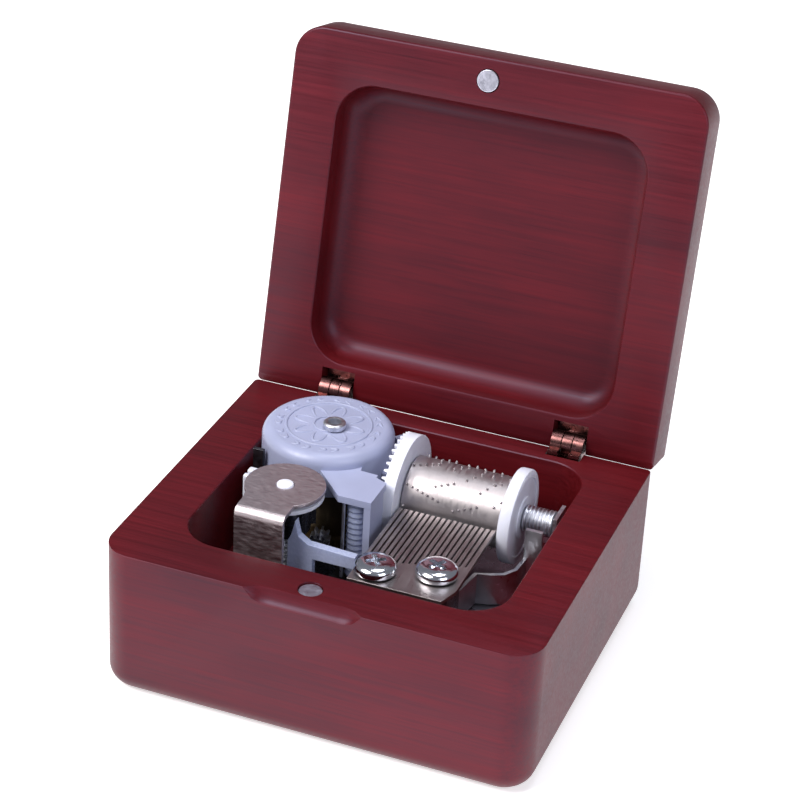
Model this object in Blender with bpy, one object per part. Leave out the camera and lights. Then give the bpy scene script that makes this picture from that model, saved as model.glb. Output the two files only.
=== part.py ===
"""Wind-up music box: a wooden box with a hinged lid and an 18-note movement in its pocket.

Units are metres and +Z is up. The origin is the centre of the base's underside, +X runs
along the front edge to the right and +Y runs to the hinges. The lid stands open at rest.
"""
import math

import bmesh
import bpy
from mathutils import Vector

MM = 0.001

# ---- Driving dimensions -------------------------------------------------------------
BOX_WIDTH = 90 * MM
BOX_DEPTH = 76 * MM
BASE_HEIGHT = 32.7 * MM
LID_HEIGHT = 12 * MM
CORNER_RADIUS = 6.5 * MM        # upright corners at the front
REAR_CORNER_RADIUS = 1.0 * MM   # upright corners at the hinge side
BASE_EDGE_RADIUS = 4.5 * MM     # rounding along the underside
LID_EDGE_RADIUS = 2.2 * MM      # rounding along the lid's top
RIM_EDGE = 0.5 * MM             # softened edge of the rims
JOINT_GAP = 0.3 * MM            # between the closed lid and the base
OPEN_ANGLE = math.radians(102.8)

SIDE_WALL = 11.4 * MM           # pocket to the box's sides
FRONT_WALL = 10.8 * MM
REAR_WALL = 5.4 * MM
POCKET_CORNER = 8.5 * MM
POCKET_DEPTH = 19.7 * MM
LID_OVERHANG = 3.0 * MM         # lid past the base at the hinges
RECESS_DEPTH = 8.4 * MM         # hollow in the lid, over the pocket
RECESS_FILLET = 4.5 * MM
LID_CHAMFER_RUN = 1.8 * MM      # bevel of the lid's inner edge at the hinges
LID_CHAMFER_RISE = 0.7 * MM
RECESS_SIDE_WALL = 10.9 * MM
RECESS_FRONT_WALL = 10.5 * MM
RECESS_REAR_WALL = 4.6 * MM

MAGNET_RADIUS = 2.35 * MM
MAGNET_HEIGHT = 3.0 * MM
MAGNET_X = -2.0 * MM
MAGNET_SETBACK = 4.8 * MM       # magnet centre to the front face
NOTCH_X = -1.8 * MM
NOTCH_HALF = 12.2 * MM
NOTCH_TAPER = 2.6 * MM
NOTCH_DEPTH = 1.9 * MM
NOTCH_HEIGHT = 2.7 * MM

HINGE_X = 26.4 * MM             # hinge centres, either side of the middle
HINGE_HALF = 3.5 * MM
KNUCKLE_RADIUS = 2.5 * MM
TONGUE_HALF = 1.1 * MM
HINGE_PIN_RADIUS = 0.8 * MM
AXIS_SETBACK = 1.4 * MM         # hinge axis behind the rear face
AXIS_RISE = 0.92 * MM           # hinge axis above the base's rim
LEAF_DEPTH = 3.0 * MM
LEAF_HEIGHT = 7.0 * MM

SHAFT_FIT = 0.15 * MM           # radial gap of a shaft in its bore
SEAT_GAP = 0.3 * MM             # between faces that seat on each other

# ---- Movement -----------------------------------------------------------------------
BED_THICKNESS = 2.2 * MM
BED_LEFT = -28.0 * MM
BED_RIGHT = 25.5 * MM
BED_FRONT = -22.5 * MM
BED_REAR = 25.0 * MM
BED_CORNER = 3.0 * MM
SPRING_X = -17.6 * MM           # winding axis
SPRING_Y = 16.0 * MM

GEAR_TEETH = 60                 # drive gear, under the spring barrel
GEAR_TIP = 14.7 * MM
GEAR_TOOTH = 2.4 * MM
GEAR_THICKNESS = 2.0 * MM
GEAR_LIFT = 1.4 * MM            # drive gear above the bedplate
BARREL_STEP = 3.8 * MM           # gear's tip past the barrel's wall
BARREL_WALL = 0.8 * MM
BARREL_HEIGHT = 16.7 * MM
BARREL_ROOM = 1.2 * MM          # under the housing's roof
ARBOR_RADIUS = 1.5 * MM
EYELET_RADIUS = 2.4 * MM
EYELET_BORE = 1.4 * MM
EYELET_HEIGHT = 1.5 * MM
SPRING_TURNS = 5
SPRING_BAND = 0.35 * MM

HOUSING_OFFSET_X = -1.6 * MM     # dome's centre from the winding axis
HOUSING_OFFSET_Y = 0.9 * MM
HOUSING_MARGIN = 3.0 * MM        # housing's radius past the barrel's
HOUSING_HEIGHT = 9.4 * MM
HOUSING_ROOF = 1.9 * MM
CLIP_BEARING = 0.892              # radians round the housing, from its left to its clip
HOUSING_DOME = 2.4 * MM         # rounding of the top edge
BRIDGE_DROP = 3.0 * MM          # bridge below the housing's top
BRIDGE_THICKNESS = 1.6 * MM
BRIDGE_OVER = 2.0 * MM           # bridge past the tips of the cylinder gear's teeth
BRIDGE_FRONT = -3.9 * MM
BRIDGE_CLEARANCE = 0.8 * MM      # bridge to the cylinder gear's rim
LEG_LENGTH = 7.2 * MM
LEG_THICKNESS = 1.6 * MM
FOOT_HALF = 1.7 * MM

CROWN_TEETH = 45                # teeth on the cylinder gear's left face
CROWN_ADDENDUM = 0.675 * MM      # past the circle that meshes with the drive gear
CROWN_TOOTH_LENGTH = 1.3 * MM
CROWN_TOOTH_DEPTH = 0.95 * MM
CROWN_THICKNESS = 2.4 * MM
CROWN_MESH = 0.4 * MM           # how far the two sets of teeth engage
DRUM_RADIUS = 7.5 * MM
DRUM_LENGTH = 21.3 * MM
END_CAP_RADIUS = 10.0 * MM
END_CAP_THICKNESS = 2.7 * MM
CYLINDER_ARBOR_RADIUS = 1.0 * MM
COIL_RIDGES = 8
COIL_RADIUS = 2.8 * MM
COIL_GROOVE = 0.45 * MM
COIL_LENGTH = 6.4 * MM

COMB_TEETH = 18
COMB_PITCH = 1.18 * MM
COMB_SLOT = 0.4 * MM
COMB_THICKNESS = 0.9 * MM
COMB_FRONT = -21.2 * MM
COMB_LIFT = 0.7 * MM            # comb's top above the cylinder's axis
COMB_TIP_GAP = 1.0 * MM         # tips to the drum, for its pins
COMB_ROOT_LEFT = -14.5 * MM     # where the longest tooth begins
COMB_ROOT_RIGHT = -7.4 * MM
COMB_CORNER = 4.6 * MM
COMB_SCREWS = ((4.9 * MM, -16.6 * MM), (16.4 * MM, -12.9 * MM))
SCREW_HEAD_RADIUS = 4.3 * MM
SCREW_HEAD_HEIGHT = 2.3 * MM
SCREW_RADIUS = 1.5 * MM
SCREW_LENGTH = 6.0 * MM

PINION_TEETH = 8                # on the worm wheel's arbor, above the drive gear
PINION_ADDENDUM = 0.14 * MM      # past the circle that meshes with the drive gear
PINION_ROOT = 1.2 * MM
PINION_MESH = 0.4 * MM
WHEEL_TEETH = 24
WHEEL_RADIUS = 4.95 * MM
WHEEL_TOOTH = 0.75 * MM
WHEEL_THICKNESS = 1.3 * MM
WHEEL_ARBOR_RADIUS = 0.5 * MM
WHEEL_ARBOR_REACH = 7.6 * MM    # beyond the wheel, into its bearing lug
PINION_LENGTH = 1.8 * MM
WORM_RADIUS = 1.75 * MM
WORM_DEPTH = 0.6 * MM
WORM_LENGTH = 6.0 * MM
WORM_MESH = 0.4 * MM
FLY_X = -18.7 * MM
FLY_Y = -7.0 * MM
FLY_RADIUS = 6.4 * MM
FLY_CLEARANCE = 2.05 * MM        # fan over the worm wheel
FLY_DISC_RADIUS = 8.0 * MM
FLY_SHAFT_RADIUS = 0.6 * MM
CAP_RADIUS = 8.2 * MM
CAP_THICKNESS = 0.9 * MM
CAP_DROP = 1.4 * MM             # cap's top below the housing's top
STRAP_LEFT = -24.4 * MM
STRAP_RIGHT = -13.9 * MM
STRAP_FRONT = -19.3 * MM
STRAP_BEND = 1.9 * MM
FRAME_THICKNESS = 1.8 * MM
ARM_HEIGHT = 3.2 * MM
LUG_HALF = 1.5 * MM

KEY_SPAN = 23.0 * MM
KEY_THICKNESS = 2.2 * MM
KEY_DROP = 8.4 * MM
KEY_FLOOR = 0.9 * MM            # key above the table
KEY_RECESS_RADIUS = 14.0 * MM
KEY_RECESS_DEPTH = 10.3 * MM
FIXING_SCREWS = ((-23.0 * MM, -17.6 * MM), (20.5 * MM, -17.6 * MM), (20.5 * MM, 21.0 * MM))
FIXING_HEAD_RADIUS = 2.8 * MM
FIXING_RADIUS = 1.3 * MM

ROUND = 32                      # sides of a middling round piece

# ---- Levels and places worked out from the driving dimensions ------------------------
POCKET_FLOOR = BASE_HEIGHT - POCKET_DEPTH
POCKET_LEFT = -BOX_WIDTH / 2 + SIDE_WALL
POCKET_RIGHT = BOX_WIDTH / 2 - SIDE_WALL
POCKET_FRONT = -BOX_DEPTH / 2 + FRONT_WALL
POCKET_REAR = BOX_DEPTH / 2 - REAR_WALL
HINGE_Y = BOX_DEPTH / 2 + AXIS_SETBACK
HINGE_Z = BASE_HEIGHT + AXIS_RISE
LID_BOTTOM = BASE_HEIGHT + JOINT_GAP
LID_TOP = LID_BOTTOM + LID_HEIGHT

BED_BOTTOM = POCKET_FLOOR + SEAT_GAP
BED_TOP = BED_BOTTOM + BED_THICKNESS
GEAR_BOTTOM = BED_TOP + GEAR_LIFT
GEAR_TOP = GEAR_BOTTOM + GEAR_THICKNESS
BARREL_BOTTOM = GEAR_TOP
BARREL_TOP = BARREL_BOTTOM + BARREL_HEIGHT
HOUSING_TOP = BARREL_TOP + BARREL_ROOM + HOUSING_ROOF
HOUSING_BOTTOM = HOUSING_TOP - HOUSING_HEIGHT
HOUSING_X = SPRING_X + HOUSING_OFFSET_X
HOUSING_Y = SPRING_Y + HOUSING_OFFSET_Y
BARREL_RADIUS = GEAR_TIP - BARREL_STEP
HOUSING_RADIUS = BARREL_RADIUS + HOUSING_MARGIN
HOUSING_RIGHT = HOUSING_X + HOUSING_RADIUS
BRIDGE_TOP = HOUSING_TOP - BRIDGE_DROP
BRIDGE_BOTTOM = BRIDGE_TOP - BRIDGE_THICKNESS

CYLINDER_Y = SPRING_Y
CROWN_RADIUS = GEAR_TIP * CROWN_TEETH / GEAR_TEETH + CROWN_ADDENDUM
CROWN_TIP_X = SPRING_X + GEAR_TIP - CROWN_MESH
BRIDGE_RIGHT = CROWN_TIP_X + BRIDGE_OVER
CROWN_ROOT_X = CROWN_TIP_X + CROWN_TOOTH_DEPTH
CYLINDER_Z = GEAR_BOTTOM - 0.4 * MM + CROWN_RADIUS
BRIDGE_REAR = CYLINDER_Y - math.sqrt((CROWN_RADIUS + BRIDGE_CLEARANCE) ** 2
                                     - (BRIDGE_BOTTOM - CYLINDER_Z) ** 2)
DRUM_LEFT = CROWN_ROOT_X + CROWN_THICKNESS + SEAT_GAP
DRUM_RIGHT = DRUM_LEFT + DRUM_LENGTH
END_CAP_LEFT = DRUM_RIGHT + SEAT_GAP
COIL_LEFT = END_CAP_LEFT + END_CAP_THICKNESS + SEAT_GAP
COIL_RIGHT = COIL_LEFT + COIL_LENGTH

COMB_TOP = CYLINDER_Z + COMB_LIFT
COMB_BOTTOM = COMB_TOP - COMB_THICKNESS
COMB_TIP_Y = CYLINDER_Y - DRUM_RADIUS - COMB_TIP_GAP
COMB_LEFT = DRUM_LEFT + 0.3 * MM
COMB_RIGHT = COMB_LEFT + COMB_TEETH * COMB_PITCH - COMB_SLOT

CAP_TOP = HOUSING_TOP - CAP_DROP
CAP_BOTTOM = CAP_TOP - CAP_THICKNESS
FLY_DISC_TOP = CAP_BOTTOM - 0.7 * MM
FLY_DISC_BOTTOM = FLY_DISC_TOP - 0.9 * MM
PINION_RADIUS = GEAR_TIP * PINION_TEETH / GEAR_TEETH + PINION_ADDENDUM
WHEEL_Z = GEAR_TOP - PINION_MESH + PINION_RADIUS
FLY_BOTTOM = WHEEL_Z + WHEEL_RADIUS + FLY_CLEARANCE
WORM_TO_WHEEL = WHEEL_RADIUS + WORM_RADIUS - WORM_MESH
SPRING_TO_FLY = math.hypot(FLY_X - SPRING_X, FLY_Y - SPRING_Y)
WHEEL_REACH = math.sqrt(SPRING_TO_FLY ** 2 - WORM_TO_WHEEL ** 2)
WHEEL_BEARING = (math.atan2(FLY_Y - SPRING_Y, FLY_X - SPRING_X)
                 + math.asin(WORM_TO_WHEEL / SPRING_TO_FLY))
WHEEL_X = SPRING_X + WHEEL_REACH * math.cos(WHEEL_BEARING)
WHEEL_Y = SPRING_Y + WHEEL_REACH * math.sin(WHEEL_BEARING)
PINION_OUTER = GEAR_TIP - WHEEL_REACH         # along the wheel's axis, from the wheel
PINION_INNER = PINION_OUTER - PINION_LENGTH


# ---- Modelling helpers ----------------------------------------------------------------
def material(name, colour, roughness, metallic=0.0):
    made = bpy.data.materials.new(name)
    made.use_nodes = True
    shader = made.node_tree.nodes["Principled BSDF"]
    shader.inputs["Base Color"].default_value = (*colour, 1.0)
    shader.inputs["Roughness"].default_value = roughness
    shader.inputs["Metallic"].default_value = metallic
    return made


def add_object(name, mesh_data, surface=None, parent=None, smooth_angle=35):
    """Turn a bmesh into an object; its faces are made to point outwards."""
    bmesh.ops.recalc_face_normals(mesh_data, faces=mesh_data.faces)
    mesh = bpy.data.meshes.new(name)
    mesh_data.to_mesh(mesh)
    mesh_data.free()
    mesh.shade_smooth()
    mesh.set_sharp_from_angle(angle=math.radians(smooth_angle))
    made = bpy.data.objects.new(name, mesh)
    bpy.context.collection.objects.link(made)
    if surface is not None:
        mesh.materials.append(surface)
    if parent is not None:
        made.parent = parent
    return made


def place(made, location=(0, 0, 0), rotation=(0, 0, 0)):
    made.location = location
    made.rotation_euler = rotation
    return made


def prism(outline, bottom, top):
    """Upright prism over a list of (x, y) points that run counter-clockwise."""
    mesh_data = bmesh.new()
    low = [mesh_data.verts.new((x, y, bottom)) for x, y in outline]
    high = [mesh_data.verts.new((x, y, top)) for x, y in outline]
    mesh_data.faces.new(list(reversed(low)))
    mesh_data.faces.new(high)
    for i in range(len(outline)):
        j = (i + 1) % len(outline)
        mesh_data.faces.new((low[i], low[j], high[j], high[i]))
    return mesh_data


def loft(rows):
    """Closed skin over stacked outlines: (height, points) from the bottom up, equal in length."""
    mesh_data = bmesh.new()
    rings = [[mesh_data.verts.new((x, y, height)) for x, y in points] for height, points in rows]
    for first, second in zip(rings, rings[1:]):
        for i in range(len(first)):
            j = (i + 1) % len(first)
            mesh_data.faces.new((first[i], first[j], second[j], second[i]))
    mesh_data.faces.new(list(reversed(rings[0])))
    mesh_data.faces.new(rings[-1])
    return mesh_data


def extrude_x(profile, left, right):
    """Solid with a (y, z) profile between two values of x."""
    mesh_data = bmesh.new()
    near = [mesh_data.verts.new((left, y, z)) for y, z in profile]
    far = [mesh_data.verts.new((right, y, z)) for y, z in profile]
    mesh_data.faces.new(near)
    mesh_data.faces.new(list(reversed(far)))
    for i in range(len(profile)):
        j = (i + 1) % len(profile)
        mesh_data.faces.new((near[i], far[i], far[j], near[j]))
    return mesh_data


def rounding(radius, steps):
    """(inset, drop) pairs of a quarter round, from its outer face to its flat."""
    pairs = []
    for i in range(steps + 1):
        angle = math.pi / 2 * i / steps
        pairs.append((radius * (1 - math.cos(angle)), radius * (1 - math.sin(angle))))
    return pairs


def block(low, high):
    outline = [(low[0], low[1]), (high[0], low[1]), (high[0], high[1]), (low[0], high[1])]
    return prism(outline, low[2], high[2])


def lathe(profile, sides=ROUND):
    """Turn (radius, height) points about Z; the profile runs from the axis to the axis or is a loop."""
    mesh_data = bmesh.new()
    closed = profile[0][0] > 0
    rings = []
    for radius, height in profile:
        if radius <= 0:
            rings.append([mesh_data.verts.new((0, 0, height))])
            continue
        ring = []
        for i in range(sides):
            angle = 2 * math.pi * i / sides
            ring.append(mesh_data.verts.new((radius * math.cos(angle), radius * math.sin(angle), height)))
        rings.append(ring)
    pairs = list(zip(rings, rings[1:]))
    if closed:
        pairs.append((rings[-1], rings[0]))
    for first, second in pairs:
        for i in range(sides):
            j = (i + 1) % sides
            corners = [first[i % len(first)], first[j % len(first)],
                       second[j % len(second)], second[i % len(second)]]
            unique = list(dict.fromkeys(corners))
            mesh_data.faces.new(unique)
    return mesh_data


def rod(radius, bottom, top, sides=ROUND):
    return lathe([(0, bottom), (radius, bottom), (radius, top), (0, top)], sides)


def tube(outer, bore, bottom, top, sides=ROUND):
    return lathe([(bore, bottom), (outer, bottom), (outer, top), (bore, top)], sides)


def arc(centre, radius, start, end, steps):
    """Points along an arc, in degrees, with both ends."""
    points = []
    for i in range(steps + 1):
        angle = math.radians(start + (end - start) * i / steps)
        points.append((centre[0] + radius * math.cos(angle), centre[1] + radius * math.sin(angle)))
    return points


def rounded_outline(left, front, right, rear, radii, steps=6):
    """Rectangle with a radius for each corner: front left, front right, rear right, rear left."""
    corners = (((left, front), (1, 1), 180), ((right, front), (-1, 1), 270),
               ((right, rear), (-1, -1), 0), ((left, rear), (1, -1), 90))
    outline = []
    for ((x, y), (sx, sy), start), radius in zip(corners, radii):
        outline += arc((x + sx * radius, y + sy * radius), radius, start, start + 90, steps)
    return outline


def gear_outline(teeth, tip, root, tooth_share=0.4, phase=0.0):
    """Spur gear outline; phase 0 puts a tooth on the local +X axis."""
    outline = []
    pitch = 2 * math.pi / teeth
    for i in range(teeth):
        middle = pitch * i + phase
        for radius, offset in ((root, -tooth_share * 0.62), (tip, -tooth_share * 0.38),
                               (tip, tooth_share * 0.38), (root, tooth_share * 0.62)):
            angle = middle + pitch * offset
            outline.append((radius * math.cos(angle), radius * math.sin(angle)))
    return outline


def combine(made, helper, operation):
    """Boolean modifier with a helper object, which is left out of the model."""
    helper.hide_render = True
    helper.display_type = 'WIRE'
    step = made.modifiers.new(operation.lower() + "_" + helper.name, 'BOOLEAN')
    step.operation = operation
    step.solver = 'EXACT'
    step.object = helper
    return made


def cut(made, mesh_data, name, location=(0, 0, 0), rotation=(0, 0, 0), parent=None):
    helper = add_object(name, mesh_data, parent=parent)
    place(helper, location, rotation)
    return combine(made, helper, 'DIFFERENCE')


def join(made, mesh_data, name, location=(0, 0, 0), rotation=(0, 0, 0), parent=None):
    helper = add_object(name, mesh_data, parent=parent)
    place(helper, location, rotation)
    return combine(made, helper, 'UNION')


def empty(name, location, rotation=(0, 0, 0), parent=None):
    made = bpy.data.objects.new(name, None)
    bpy.context.collection.objects.link(made)
    made.parent = parent
    return place(made, location, rotation)


ALONG_X = (0, math.pi / 2, 0)      # turns local +Z to +X
AGAINST_X = (0, -math.pi / 2, 0)   # turns local +Z to -X


# ---- Wooden box -----------------------------------------------------------------------
def box_outline(inset=0.0, overhang=0.0):
    side = BOX_WIDTH / 2 - inset
    front = -BOX_DEPTH / 2 + inset
    rear = BOX_DEPTH / 2 + overhang - inset
    front_radius = max(CORNER_RADIUS - inset, RIM_EDGE)
    rear_radius = max(REAR_CORNER_RADIUS - inset, RIM_EDGE)
    radii = (front_radius, front_radius, rear_radius, rear_radius)
    return rounded_outline(-side, front, side, rear, radii, 5)


def pocket_outline():
    return rounded_outline(POCKET_LEFT, POCKET_FRONT, POCKET_RIGHT, POCKET_REAR,
                           (POCKET_CORNER,) * 4, 5)


def notch_cutter():
    """Wedge that scoops a finger grip out of the base's front top edge."""
    over = 1 * MM
    front = -BOX_DEPTH / 2
    stations = ((-NOTCH_HALF, 0.02), (-NOTCH_HALF + NOTCH_TAPER, 1.0),
                (NOTCH_HALF - NOTCH_TAPER, 1.0), (NOTCH_HALF, 0.02))
    mesh_data = bmesh.new()
    rings = []
    for offset, share in stations:
        depth = NOTCH_DEPTH * share
        drop = NOTCH_HEIGHT * share
        points = ((front - over, BASE_HEIGHT + over), (front - over, BASE_HEIGHT - drop),
                  (front, BASE_HEIGHT - drop), (front + depth * 0.55, BASE_HEIGHT - drop * 0.62),
                  (front + depth, BASE_HEIGHT), (front + depth, BASE_HEIGHT + over))
        rings.append([mesh_data.verts.new((NOTCH_X + offset, y, z)) for y, z in points])
    for first, second in zip(rings, rings[1:]):
        for i in range(len(first)):
            j = (i + 1) % len(first)
            mesh_data.faces.new((first[i], first[j], second[j], second[i]))
    mesh_data.faces.new(rings[0])
    mesh_data.faces.new(list(reversed(rings[-1])))
    return mesh_data


def leaf_mortise(bottom, top):
    return block((-HINGE_HALF - SEAT_GAP, BOX_DEPTH / 2 - LEAF_DEPTH - SEAT_GAP, bottom),
                 (HINGE_HALF + SEAT_GAP, BOX_DEPTH / 2 + 2 * LID_OVERHANG, top))


def make_base(wood):
    rows = [(drop, box_outline(inset)) for inset, drop in reversed(rounding(BASE_EDGE_RADIUS, 4))]
    rows += [(BASE_HEIGHT - drop, box_outline(inset)) for inset, drop in rounding(RIM_EDGE, 1)]
    base = add_object("base_box", loft(rows), wood)
    over = 1 * MM
    cut(base, prism(pocket_outline(), POCKET_FLOOR, BASE_HEIGHT + over), "cut_pocket")
    cut(base, notch_cutter(), "cut_notch")
    cut(base, rod(MAGNET_RADIUS + SHAFT_FIT, BASE_HEIGHT - MAGNET_HEIGHT - 2 * SEAT_GAP,
                  BASE_HEIGHT + over), "cut_base_magnet",
        (MAGNET_X, -BOX_DEPTH / 2 + MAGNET_SETBACK, 0))
    cut(base, rod(KEY_RECESS_RADIUS, -over, KEY_RECESS_DEPTH, 36), "cut_key_recess",
        (SPRING_X, SPRING_Y, 0))
    cut(base, rod(ARBOR_RADIUS + 1.2 * MM, 0, BASE_HEIGHT, 16), "cut_arbor_hole",
        (SPRING_X, SPRING_Y, 0))
    for i, (x, y) in enumerate(FIXING_SCREWS):
        cut(base, rod(FIXING_HEAD_RADIUS + 0.5 * MM, -over, KEY_RECESS_DEPTH, 16),
            f"cut_counterbore_{i}", (x, y, 0))
        cut(base, rod(FIXING_RADIUS + SHAFT_FIT, 0, BASE_HEIGHT, 16), f"cut_fixing_{i}", (x, y, 0))
    for side in (-1, 1):
        low = BASE_HEIGHT - KNUCKLE_RADIUS - LEAF_HEIGHT
        cut(base, leaf_mortise(low, BASE_HEIGHT + over), f"cut_base_hinge_{side + 1}",
            (side * HINGE_X, 0, 0))
    return base


def recess_cutter():
    """Hollow of the lid, with a filleted floor."""
    rows = []
    for inset, drop in [(0.0, RECESS_DEPTH + 1 * MM)] + rounding(RECESS_FILLET, 4):
        half_width = BOX_WIDTH / 2 - RECESS_SIDE_WALL - inset
        front = -BOX_DEPTH / 2 + RECESS_FRONT_WALL + inset
        rear = BOX_DEPTH / 2 - RECESS_REAR_WALL - inset
        outline = rounded_outline(-half_width, front, half_width, rear, (POCKET_CORNER - inset,) * 4, 5)
        rows.append((LID_BOTTOM + RECESS_DEPTH - drop, outline))
    return loft(rows)


def lid_chamfer_cutter():
    """Bevel along the lid's lower edge at the hinge side."""
    rear = BOX_DEPTH / 2 + LID_OVERHANG
    over = 1 * MM
    run = LID_CHAMFER_RUN
    rise = LID_CHAMFER_RISE
    profile = [(rear - run - over * run / rise, LID_BOTTOM - over), (rear + over, LID_BOTTOM - over),
               (rear + over, LID_BOTTOM + rise + over * rise / run)]
    return extrude_x(profile, -BOX_WIDTH / 2 - over, BOX_WIDTH / 2 + over)


def make_lid(wood, closed_frame):
    """Lid modelled shut, under an empty on the hinge axis that holds it open."""
    rows = []
    for inset, drop in reversed(rounding(RIM_EDGE, 1)):
        rows.append((LID_BOTTOM + drop, box_outline(inset, LID_OVERHANG)))
    for inset, drop in rounding(LID_EDGE_RADIUS, 3):
        rows.append((LID_TOP - drop, box_outline(inset, LID_OVERHANG)))
    lid = add_object("lid", loft(rows), wood, closed_frame)
    cut(lid, recess_cutter(), "cut_lid_recess", parent=closed_frame)
    cut(lid, lid_chamfer_cutter(), "cut_lid_chamfer", parent=closed_frame)
    cut(lid, rod(MAGNET_RADIUS + SHAFT_FIT, LID_BOTTOM - 1 * MM, LID_BOTTOM + MAGNET_HEIGHT),
        "cut_lid_magnet", (MAGNET_X, -BOX_DEPTH / 2 + MAGNET_SETBACK, 0), parent=closed_frame)
    for side in (-1, 1):
        cut(lid, leaf_mortise(LID_BOTTOM - 1 * MM, HINGE_Z + KNUCKLE_RADIUS + LEAF_HEIGHT - 2 * MM),
            f"cut_lid_hinge_{side + 1}", (side * HINGE_X, 0, 0), parent=closed_frame)
    return lid


def make_magnets(steel, closed_frame):
    y = -BOX_DEPTH / 2 + MAGNET_SETBACK
    base_top = BASE_HEIGHT - SEAT_GAP
    place(add_object("base_magnet", rod(MAGNET_RADIUS, base_top - MAGNET_HEIGHT, base_top), steel),
          (MAGNET_X, y, 0))
    low = BASE_HEIGHT
    place(add_object("lid_magnet", rod(MAGNET_RADIUS, low, low + MAGNET_HEIGHT), steel, closed_frame),
          (MAGNET_X, y, 0))


# ---- Hinges ---------------------------------------------------------------------------
def make_hinges(bronze, closed_frame):
    """Each hinge is a forked leaf in the base, a tongued leaf in the lid and a pin."""
    rear = BOX_DEPTH / 2
    bore = HINGE_PIN_RADIUS + SHAFT_FIT
    leaf_rear = HINGE_Y + 0.9 * MM
    for side, label in ((-1, "left"), (1, "right")):
        x = side * HINGE_X
        low = BASE_HEIGHT - KNUCKLE_RADIUS - LEAF_HEIGHT + SEAT_GAP
        fork = add_object(f"hinge_fork_{label}", block(
            (-HINGE_HALF, rear - LEAF_DEPTH, low), (HINGE_HALF, leaf_rear, HINGE_Z)), bronze)
        place(fork, (x, 0, 0))
        join(fork, rod(KNUCKLE_RADIUS, -HINGE_HALF, HINGE_HALF, 24), f"fork_knuckle_{label}",
             (x, HINGE_Y, HINGE_Z), ALONG_X)
        cut(fork, block((-TONGUE_HALF - SHAFT_FIT, rear - LEAF_DEPTH - 1 * MM,
                         HINGE_Z - KNUCKLE_RADIUS - SEAT_GAP),
                        (TONGUE_HALF + SHAFT_FIT, HINGE_Y + 2 * KNUCKLE_RADIUS, HINGE_Z + 2 * KNUCKLE_RADIUS)),
            f"cut_fork_gap_{label}", (x, 0, 0))
        cut(fork, rod(bore, -BOX_DEPTH, BOX_DEPTH, 16), f"cut_fork_bore_{label}",
            (x, HINGE_Y, HINGE_Z), ALONG_X)

        high = HINGE_Z + KNUCKLE_RADIUS + LEAF_HEIGHT - 2 * MM - SEAT_GAP
        shelf = HINGE_Z + KNUCKLE_RADIUS + SEAT_GAP
        tongue = add_object(f"hinge_tongue_{label}", block(
            (-HINGE_HALF, rear - LEAF_DEPTH, shelf), (HINGE_HALF, HINGE_Y + 0.6 * MM, high)),
            bronze, closed_frame)
        place(tongue, (x, 0, 0))
        join(tongue, block((-TONGUE_HALF, HINGE_Y - 2 * MM, HINGE_Z), (TONGUE_HALF, HINGE_Y, shelf + 1 * MM)),
             f"tongue_neck_{label}", (x, 0, 0), parent=closed_frame)
        join(tongue, rod(KNUCKLE_RADIUS, -TONGUE_HALF, TONGUE_HALF, 24), f"tongue_knuckle_{label}",
             (x, HINGE_Y, HINGE_Z), ALONG_X, parent=closed_frame)
        cut(tongue, rod(bore, -BOX_DEPTH, BOX_DEPTH, 16), f"cut_tongue_bore_{label}",
            (x, HINGE_Y, HINGE_Z), ALONG_X, parent=closed_frame)

        pin = add_object(f"hinge_pin_{label}", rod(HINGE_PIN_RADIUS, -HINGE_HALF, HINGE_HALF, 16), bronze)
        place(pin, (x, HINGE_Y, HINGE_Z), ALONG_X)


# ---- Bedplate, comb and screws ---------------------------------------------------------
def make_bedplate(cast):
    outline = rounded_outline(BED_LEFT, BED_FRONT, BED_RIGHT, BED_REAR, (BED_CORNER,) * 4, 4)
    bed = add_object("bedplate", prism(outline, BED_BOTTOM, BED_TOP), cast)
    slope = (COMB_ROOT_RIGHT - COMB_ROOT_LEFT) / (COMB_RIGHT - COMB_LEFT)
    inset = 1.2 * MM
    left = COMB_LEFT + inset
    right = COMB_RIGHT - inset
    front = COMB_FRONT + 0.8 * MM
    anvil = [(left, front), (right - 3 * MM, front), (right, front + 3 * MM),
             (right, COMB_ROOT_RIGHT - 2.6 * MM),
             (left, COMB_ROOT_RIGHT - 2.6 * MM - slope * (right - left))]
    join(bed, prism(anvil, BED_BOTTOM + 1 * MM, COMB_BOTTOM - SEAT_GAP), "comb_anvil")
    cut(bed, rod(ARBOR_RADIUS + SHAFT_FIT, 0, BASE_HEIGHT, 24), "cut_bed_arbor", (SPRING_X, SPRING_Y, 0))
    trough = rod(WHEEL_RADIUS + 0.8 * MM, -WHEEL_THICKNESS / 2 - SEAT_GAP, WHEEL_THICKNESS / 2 + SEAT_GAP, 48)
    cut(bed, trough, "cut_wheel_trough", (WHEEL_X, WHEEL_Y, WHEEL_Z), (0, math.pi / 2, WHEEL_BEARING))
    for i, (x, y) in enumerate(COMB_SCREWS):
        cut(bed, rod(SCREW_RADIUS + SHAFT_FIT, COMB_TOP - SCREW_LENGTH - SEAT_GAP, BASE_HEIGHT, 16),
            f"cut_comb_screw_{i}", (x, y, 0))
    for i, (x, y) in enumerate(FIXING_SCREWS):
        cut(bed, rod(FIXING_RADIUS + SHAFT_FIT, 0, BED_TOP + SEAT_GAP, 16), f"cut_bed_fixing_{i}", (x, y, 0))
    return bed


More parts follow.
